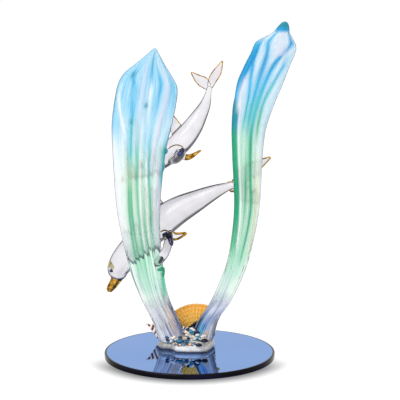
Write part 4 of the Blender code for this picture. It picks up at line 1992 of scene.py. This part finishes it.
# The pale right edge, the deep left one, the long folds, the patches in the foot and the tip.
RIGHT_CANES = RIGHT_STREAKS + [
    Cane(
        ((0.0, 0.9), (0.30, 0.92), (0.50, 0.90), (0.70, 0.95)),
        ((0.0, Glass.LILAC), (0.30, Glass.CLEAR), (0.55, Glass.CLEAR), (0.7, Glass.PALE_SKY)),
        width=0.35, groove=0.0, fade=0.10,
    ),
    *full_canes(
        Cane(
            ((0.25, -0.55), (0.30, -0.70), (0.40, -0.80), (0.60, -0.82), (0.73, -0.84), (0.76, -0.84)),
            (
                (0.25, Glass.MINT), (0.33, Glass.GREEN), (0.42, Glass.EMERALD), (0.64, Glass.EMERALD),
                (0.69, Glass.TEAL), (0.76, Glass.TEAL),
            ),
            width=0.22, groove=0.2, fade=0.03,
        ),
        Cane(
            ((0.77, -0.92), (0.82, -0.90), (0.88, -0.86), (0.925, -0.88)),
            ((0.77, Glass.CYAN), (0.83, Glass.AZURE), (0.90, Glass.AZURE), (0.925, Glass.CYAN)),
            width=0.19, groove=0.5, fade=0.03,
        ),
    ),
    Cane(
        ((0.74, -0.68), (0.78, -0.70), (0.81, -0.66)),
        ((0.74, Glass.CLEAR), (0.81, Glass.LILAC)),
        width=0.13, groove=0.0, fade=0.03,
    ),
    Cane(
        ((0.45, -0.45), (0.60, -0.38), (0.74, -0.31), (0.80, -0.39), (0.86, -0.60), (0.90, -0.80)),
        (
            (0.45, Glass.MINT), (0.64, Glass.MINT), (0.71, Glass.TURQUOISE), (0.79, Glass.CYAN),
            (0.90, Glass.AZURE),
        ),
        width=0.10, strength=1.0, groove=0.5,
    ),
    Cane(
        (
            (0.15, -0.15), (0.35, -0.18), (0.58, -0.09), (0.74, -0.07), (0.82, -0.10), (0.90, -0.23),
            (0.96, -0.50),
        ),
        (
            (0.15, Glass.SMOKE), (0.30, Glass.MINT), (0.50, Glass.GREEN), (0.62, Glass.MINT),
            (0.71, Glass.TURQUOISE), (0.79, Glass.CYAN), (0.87, Glass.AZURE), (0.96, Glass.CYAN),
        ),
        width=0.14, strength=1.0, groove=0.6,
    ),
    Cane(
        (
            (0.12, 0.05), (0.20, 0.20), (0.29, 0.20), (0.34, 0.25), (0.40, 0.30), (0.46, 0.29),
            (0.52, 0.22), (0.68, 0.17), (0.80, 0.20), (0.88, 0.34), (0.94, 0.79),
        ),
        (
            (0.12, Glass.SMOKE), (0.18, Glass.PALE_MINT), (0.24, Glass.MINT), (0.29, Glass.GREEN),
            (0.33, Glass.EMERALD), (0.62, Glass.EMERALD), (0.72, Glass.TURQUOISE), (0.82, Glass.CYAN),
            (0.88, Glass.AZURE), (0.94, Glass.AZURE),
        ),
        width=0.15, strength=1.0, groove=0.6,
    ),
    Cane(
        ((0.30, 0.78), (0.46, 0.68), (0.58, 0.57), (0.67, 0.50), (0.74, 0.45), (0.80, 0.56), (0.86, 0.72)),
        (
            (0.30, Glass.LIME), (0.46, Glass.LIME), (0.60, Glass.PALE_MINT), (0.68, Glass.GREEN),
            (0.76, Glass.TURQUOISE), (0.86, Glass.CYAN),
        ),
        width=0.11, groove=0.45,
    ),
    *full_canes(
        Cane(
            ((0.0, -0.40), (0.045, -0.42), (0.075, -0.35)),
            ((0.0, Glass.TEAL), (0.05, Glass.AZURE), (0.075, Glass.SMOKE)),
            width=0.42, groove=0.2, fade=0.02,
        ),
        Cane(
            ((0.025, -0.98), (0.06, -0.92), (0.09, -0.95)),
            ((0.03, Glass.NAVY), (0.07, Glass.NAVY), (0.09, Glass.SLATE)),
            width=0.26, groove=0.3, fade=0.02,
        ),
        Cane(
            ((0.045, -0.12), (0.075, 0.02)),
            ((0.045, Glass.COBALT), (0.075, Glass.VIOLET)),
            width=0.16, groove=0.3, fade=0.012,
        ),
        Cane(((0.0, 0.22), (0.026, 0.24)), ((0.0, Glass.APRICOT),), width=0.28, groove=0.2, fade=0.012),
        Cane(((0.0, 0.58), (0.045, 0.52)), ((0.0, Glass.WHITE),), width=0.14, groove=0.2, fade=0.012),
    ),
    Cane(
        ((0.34, -0.42), (0.45, -0.50), (0.62, -0.56), (0.72, -0.60)),
        ((0.34, Glass.WHITE), (0.62, Glass.WHITE), (0.72, Glass.LILAC)),
        width=0.07, groove=-0.25,
    ),
    Cane(
        ((0.90, 0.30), (0.95, 0.15), (0.965, 0.1)),
        ((0.90, Glass.LILAC),),
        width=0.32, strength=0.7, groove=-0.3, fade=0.01,
    ),
    Cane(
        ((0.975, 0.1), (0.99, 0.15), (1.0, 0.15)),
        ((0.98, Glass.AZURE), (0.99, Glass.TEAL)),
        width=1.6, strength=1.0, solid=2.5, groove=0.0, fade=0.008,
    ),
]

WAVE_LEFT = Wave(
    name="wave_left",
    slot=PALE_SLOT,
    edges=[
        ((-18.6, FOOT), (-0.5, FOOT)),
        ((-22.2, 18.5), (-5.2, 18.2)),
        ((-29.1, 33.0), (-12.4, 34.2)),
        ((-35.6, 50.8), (-15.5, 52.0)),
        ((-42.8, 84.2), (-17.3, 84.2)),
        ((-45.4, 120.2), (-14.1, 120.2)),
        ((-46.0, 136.3), (-10.4, 136.9)),
        ((-44.6, 149.9), (-7.6, 151.1)),
        ((-41.8, 162.6), (-7.0, 160.1)),
        ((-37.9, 169.1), (-9.5, 165.9)),
        ((-29.9, 175.6), (-14.5, 174.3)),
        ((-20.4, 183.7), (-19.0, 183.1)),
    ],
    depth=Course.of((0.0, 8.0), (0.5, 8.2), (0.8, 8.0), (1.0, 4.0)),
    thickness=Course.of((0.0, 12.5), (0.3, 9.4), (0.6, 6.8), (0.85, 5.4), (1.0, 1.6)),
    relief=RELIEF,
    ribs=9,
    body=(
        CLEAR_FOOT,
        (0.11, Glass.CLEAR), (0.16, Glass.PALE_MINT), (0.20, Glass.MINT), (0.31, Glass.MINT),
        (0.38, Glass.PALE_MINT), (0.60, Glass.PALE_MINT), (0.72, Glass.PALE_SKY), (0.82, Glass.SKY),
        (1.0, Glass.SKY),
    ),
    canes=LEFT_CANES,
    haze_from=0.30,
    milk=0.45,
    foot_milk=0.45,
    seed=3,
)
WAVE_RIGHT = Wave(
    name="wave_right",
    slot="deep_blue_and_green_glass",
    edges=[
        ((0.3, FOOT), (14.2, FOOT)),
        ((4.4, 18.8), (17.9, 20.6)),
        ((11.6, 29.6), (24.8, 31.1)),
        ((17.9, 43.4), (31.3, 44.7)),
        ((22.9, 58.7), (36.0, 58.7)),
        ((26.1, 87.2), (41.5, 87.2)),
        ((25.0, 119.0), (43.2, 119.0)),
        ((24.5, 135.1), (45.0, 135.1)),
        ((25.3, 149.9), (49.9, 150.5)),
        ((27.5, 163.4), (54.9, 162.8)),
        ((31.3, 172.8), (58.6, 172.8)),
        ((35.4, 181.0), (61.8, 181.0)),
        ((38.4, 187.3), (62.0, 185.2)),
        ((44.5, 190.6), (59.7, 189.9)),
        ((48.4, 192.9), (58.2, 192.6)),
        ((51.8, 196.9), (57.8, 196.4)),
        ((53.7, 198.8), (56.9, 198.6)),
    ],
    depth=Course.of((0.0, 10.0), (0.5, 9.0), (0.8, 7.5), (1.0, 2.5)),
    thickness=Course.of((0.0, 11.5), (0.3, 9.6), (0.6, 8.4), (0.85, 6.2), (1.0, 4.2)),
    relief=RELIEF,
    ribs=7,
    body=(
        CLEAR_FOOT,
        (0.07, Glass.SMOKE), (0.12, Glass.LILAC), (0.17, Glass.PALE_MINT), (0.26, Glass.MINT),
        (0.36, Glass.PALE_MINT), (0.55, Glass.PALE_MINT), (0.70, Glass.PALE_SKY), (1.0, Glass.PALE_SKY),
    ),
    canes=RIGHT_CANES,
    haze_from=0.24,
    milk=0.45,
    foot_milk=0.75,
    seed=5,
)
# Both dolphins have the same build: a thin beak, a round brow and a slim tail.
BODY_GIRTH = Course.of(
    (0.0, 0.017), (0.03, 0.024), (0.078, 0.032), (0.10, 0.050), (0.14, 0.064), (0.20, 0.072),
    (0.30, 0.080), (0.42, 0.085), (0.55, 0.086), (0.66, 0.076), (0.76, 0.060), (0.86, 0.042),
    (0.95, 0.024), (1.0, 0.018),
)
DOLPHIN_LARGE = Dolphin(
    name="dolphin_large",
    marks=(
        # Dark marks: painted shade where the thick near flipper shows its dark surroundings.
        Mark(
            "dark_crescent",
            (
                (-16.2, 12.8, 70.5), (-14.4, 13.2, 71.2), (-12.9, 12.0, 70.4), (-11.4, 9.6, 68.6),
                (-10.8, 7.0, 66.0),
            ),
            radius=1.6,
        ),
        Mark("dark_tip", ((-16.0, 1.2, 60.3), (-16.9, 0.6, 58.6), (-18.0, 0.0, 56.6)), radius=0.9),
        Mark(
            "gold_arc",
            ((-17.5, 16.2, 72.9), (-15.4, 15.6, 73.9), (-13.0, 14.4, 73.0), (-10.8, 11.4, 71.0)),
            radius=0.45,
            gilt=True,
        ),
        Mark(
            "gold_tail_root",
            ((23.2, 14.6, 98.4), (25.0, 14.4, 97.2), (26.5, 14.3, 97.8)),
            radius=0.5,
            gilt=True,
        ),
        Mark(
            "gold_tail_ring",
            ((22.6, 14.9, 102.9), (24.7, 14.8, 103.2), (25.9, 14.6, 102.3)),
            radius=0.3,
            gilt=True,
        ),
    ),
    spine=[
        (-49.0, 21.0, 35.2), (-44.7, 21.0, 41.9), (-42.8, 21.0, 49.7), (-37.3, 21.0, 57.7),
        (-26.4, 21.0, 68.8), (-10.7, 20.8, 82.2), (6.2, 19.0, 91.9), (18.1, 16.8, 98.0),
        (28.3, 15.6, 101.9),
    ],
    girth=BODY_GIRTH,
    fins=[
        Blade(
            "dorsal",
            [(-17.5, 21.0, 82.0), (-21.8, 20.0, 91.0), (-24.5, 19.0, 98.5)],
            (6.0, 3.6, 0.5),
            thickness=1.6,
            gilt_from=0.35,
        ),
        Blade(
            "near_flipper",
            [(-15.0, 19.0, 75.0), (-12.6, 11.0, 69.6), (-14.4, 3.0, 62.6), (-19.2, 0.3, 56.4)],
            (3.2, 2.8, 2.7, 2.6),
            thickness=2.6,
        ),
        Blade(
            "far_flipper",
            [(-17.0, 25.0, 73.0), (-9.5, 29.0, 67.0), (-2.8, 30.0, 68.4)],
            (3.0, 2.0, 0.5),
            thickness=1.6,
            gilt_from=0.3,
            gilt_girth=1.7,
        ),
        Blade(
            "upper_fluke",
            [(24.5, 15.9, 100.0), (36.5, 15.2, 110.4), (47.6, 14.4, 117.6)],
            (1.8, 3.7, 0.5),
            thickness=1.6,
            gilt_from=0.1,
        ),
        Blade(
            "lower_fluke",
            [(24.5, 15.9, 100.5), (33.0, 15.4, 96.5), (39.6, 15.2, 90.6)],
            (1.8, 4.3, 0.5),
            thickness=1.6,
            gilt_from=0.1,
        ),
    ],
)
DOLPHIN_SMALL = Dolphin(
    name="dolphin_small",
    marks=(
        # Dark marks: painted shade where the thick near flipper shows its dark surroundings.
        Mark(
            "dark_crescent",
            ((-4.0, 12.2, 123.4), (-4.6, 11.2, 121.9), (-5.6, 10.2, 120.6), (-6.9, 9.6, 119.4)),
            radius=1.5,
        ),
        Mark(
            "gold_arc",
            (
                (-12.2, 17.2, 122.3), (-10.2, 16.6, 124.0), (-7.5, 15.4, 125.2), (-4.8, 13.4, 124.8),
                (-3.3, 11.8, 123.3),
            ),
            radius=0.32,
            gilt=True,
        ),
    ),
    spine=[
        (-37.4, 18.3, 103.6), (-30.2, 18.3, 108.4), (-23.6, 18.3, 112.2), (-14.5, 18.3, 118.1),
        (-5.3, 18.3, 126.4), (1.3, 18.0, 134.7), (6.0, 17.8, 142.5), (9.5, 16.8, 149.7),
        (11.9, 15.6, 159.6),
    ],
    girth=BODY_GIRTH,
    voxel=0.26,
    rim_radius=0.34,
    fins=[
        Blade(
            "dorsal",
            [(-5.6, 19.0, 128.5), (-8.8, 19.0, 136.6), (-11.2, 19.0, 143.8)],
            (4.8, 3.0, 0.4),
            thickness=1.2,
            gilt_from=0.35,
        ),
        Blade(
            "near_flipper",
            [(-7.6, 18.5, 124.6), (-5.0, 12.4, 122.2), (-7.4, 9.0, 118.3), (-11.2, 8.6, 116.4)],
            (3.0, 3.1, 3.0, 2.2),
            thickness=1.9,
        ),
        Blade(
            "far_flipper",
            [(-8.5, 21.5, 119.0), (-1.0, 25.4, 116.2), (6.6, 26.2, 120.2)],
            (2.4, 1.7, 0.4),
            thickness=1.2,
            gilt_from=0.4,
            gilt_whole=True,
        ),
        Blade(
            "right_fluke",
            [(11.4, 15.8, 157.6), (13.7, 15.4, 164.0), (16.3, 15.0, 168.4), (19.2, 14.6, 174.6)],
            (1.3, 2.3, 2.3, 0.4),
            thickness=1.2,
            gilt_from=0.1,
        ),
        Blade(
            "left_fluke",
            [(12.0, 15.8, 158.4), (8.4, 15.8, 162.3), (5.2, 15.8, 164.4), (1.4, 15.8, 168.0)],
            (1.6, 3.0, 2.3, 0.4),
            thickness=1.2,
            gilt_from=0.1,
        ),
    ],
)
PUDDLE = Puddle(
    centre=(-1.0, 9.0),
    outline=[
        (0.0, -5.6), (10.0, -4.6), (12.8, 1.0), (15.2, 9.0), (13.4, 19.0), (3.0, 23.5), (-8.0, 21.0),
        (-14.5, 14.5), (-19.5, 8.0), (-17.0, 3.5), (-11.0, 1.0), (-8.4, -3.8),
    ],
    profile=((0.95, 0.0), (1.0, 1.0), (0.98, 2.1), (0.91, 3.3), (0.75, 4.2)),
    bottom=POOL_BOTTOM,
)
SCALLOP = Scallop(
    hinge=(4.0, 20.4, 7.0),
    radius=19.1,
    spread=math.radians(51),
    ribs=13,
    dome=3.6,
    wall=1.0,
    tilt=math.radians(-12),
    lean=math.radians(-6),
)
SPIRALS = [
    SpiralShell("spiral_shell_left", (-25.8, 20.2, 14.2), (-15.6, 20.4, 8.7), 5.2, 4.0),
    SpiralShell("spiral_shell_right", (16.0, 18.4, 17.2), (12.2, 18.8, 8.6), 3.1, 5.0),
]
PEBBLES = [
    Pebble("pebble_navy_front", (5.5, -5.0, 8.1), (2.1, 1.3, 1.1), "navy_glass", 1),
    Pebble("pebble_navy_right", (8.9, -0.3, 9.5), (2.3, 1.7, 1.3), "navy_glass", 2),
    Pebble("pebble_navy_middle", (1.9, 16.9, 14.2), (5.0, 0.8, 1.3), "navy_glass", 3, -40.0),
    Pebble("pebble_teal_left", (-6.3, -0.6, 9.3), (2.5, 1.6, 1.2), "teal_glass", 4),
    Pebble("pebble_teal_right", (-1.8, -2.0, 9.4), (1.6, 1.4, 1.2), "teal_glass", 5),
    Pebble("pebble_blue_back", (5.6, 16.9, 11.0), (3.2, 1.1, 2.8), "teal_glass", 6),
]
WELDS = [
    Pebble("weld_turquoise", (-14.4, 11.0, 122.3), (1.7, 2.2, 2.1), PALE_SLOT, 8, 0.0, packed=False),
    Pebble("weld_pale_turquoise", (-15.6, 9.6, 113.0), (1.1, 1.6, 3.4), PALE_SLOT, 9, 6.0, packed=False),
]
GREEN_WELDS = [
    Pebble("weld_emerald", (-17.0, 5.2, 51.9), (2.6, 1.1, 1.2), PALE_SLOT, 10, -14.0, packed=False),
    Pebble("weld_emerald_drop", (-15.6, 5.6, 49.6), (1.0, 1.0, 2.6), PALE_SLOT, 11, 8.0, packed=False),
]
# The noise's values where the rods in each foot change colour.
LEFT_RODS = (
    (0.34, 0x303A58), (0.40, 0x8C9DBE), (0.45, 0xF4F6FA), (0.54, 0xF4F6FA), (0.58, 0xEBB488),
    (0.62, 0x9A6244), (0.67, 0xE8ECF4),
)
RIGHT_RODS = (
    (0.38, 0x10184C), (0.43, 0x3A78C0), (0.48, 0x52BAD8), (0.53, 0xF6F8FC), (0.57, 0x7478C4),
    (0.62, 0xFFFFFF),
)
LEFT_GLASS = WaveGlass("pale_blue_over_green_glass", LEFT_RODS, (0.07, 0.20), 0.45)
RIGHT_GLASS = WaveGlass("deep_blue_over_green_glass", RIGHT_RODS, (0.06, 0.13), 0.3)


def main() -> None:
    """Builds every piece of the figurine and its studio."""
    logging.basicConfig(level=logging.INFO, format="%(name)s: %(message)s")
    for obj in list(bpy.data.objects):
        bpy.data.objects.remove(obj)
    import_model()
    Studio().build()
    clear = ClearGlass("clear_glass_finish").make()
    shaded = ClearGlass("shaded_clear_glass_finish", under=0.6).make()
    gold = GoldLustre("gold_lustre").make()
    # Painted reflection of the gilded beak, seen through the head above the eye.
    beak_reflection = GoldLustre("worn_lustre", 0xB2AA7E, 0x8A8262, 0.3).make()
    dark = PebbleGlass("eye_glass", 0x090A20, 0x35388C, 0.0).make()
    MirrorBase().build(MirrorFinish("blue_mirror_finish").make(), PolishedEdge("polished_edge").make())
    PUDDLE.build(PuddleGlass("milky_puddle_glass").make())
    frit = [
        (GrainFinish("cream_grains", 0xF3E3C4, 0xE8C890).make(), "amber_shell", "frit_cream"),
        (GrainFinish("brown_grains", 0x9A5230, 0x6D3218).make(), "banded_shell", "frit_brown"),
        (GrainFinish("teal_grains", 0x1B7FA3, 0x0F4F75).make(), "teal_glass", "frit_teal"),
    ]
    PUDDLE.frit(frit)
    chips = [
        (PebbleGlass("teal_chips", 0x0B6A97, 0x5CC0D8, 0.2).make(), "teal_glass", "chips_teal"),
        (PebbleGlass("navy_chips", 0x05061F, 0x1E2A70, 0.1).make(), "navy_glass", "chips_navy"),
        (PebbleGlass("white_chips", 0xFFFFFF, 0xE8EEF6, 0.3).make(), "clear_glass", "chips_white"),
        (GrainFinish("shell_chips", 0xF2E2CA, 0xA86A40).make(), "banded_shell", "chips_shell"),
    ]
    PUDDLE.chips(chips)
    WAVE_LEFT.build(LEFT_GLASS.make())
    WAVE_RIGHT.build(RIGHT_GLASS.make())
    for dolphin, glass in ((DOLPHIN_LARGE, clear), (DOLPHIN_SMALL, shaded)):
        dolphin.build(glass, gold, beak_reflection, dark)
    SCALLOP.build(ScallopFinish("amber_shell_finish").make())
    banded = BandedShell("banded_shell_finish").make()
    for shell in SPIRALS:
        shell.build(banded)
    navy = PebbleGlass("navy_glass_finish", 0x03041C, 0x14185C, 0.2, 0.3).make()
    teal = PebbleGlass("teal_glass_finish", 0x0B6A97, 0x36A7C4).make()
    for pebble in PEBBLES:
        pebble.build(navy if pebble.slot == "navy_glass" else teal)
    turquoise = PebbleGlass("turquoise_weld_glass", 0x3CBFD8, 0x9FE2EA, 0.5).make()
    emerald = PebbleGlass("emerald_weld_glass", 0x14A87C, 0x5CCBA4, 0.5).make()
    for weld in WELDS:
        weld.build(turquoise)
    for weld in GREEN_WELDS:
        weld.build(emerald)


if __name__ == "__main__":
    main()
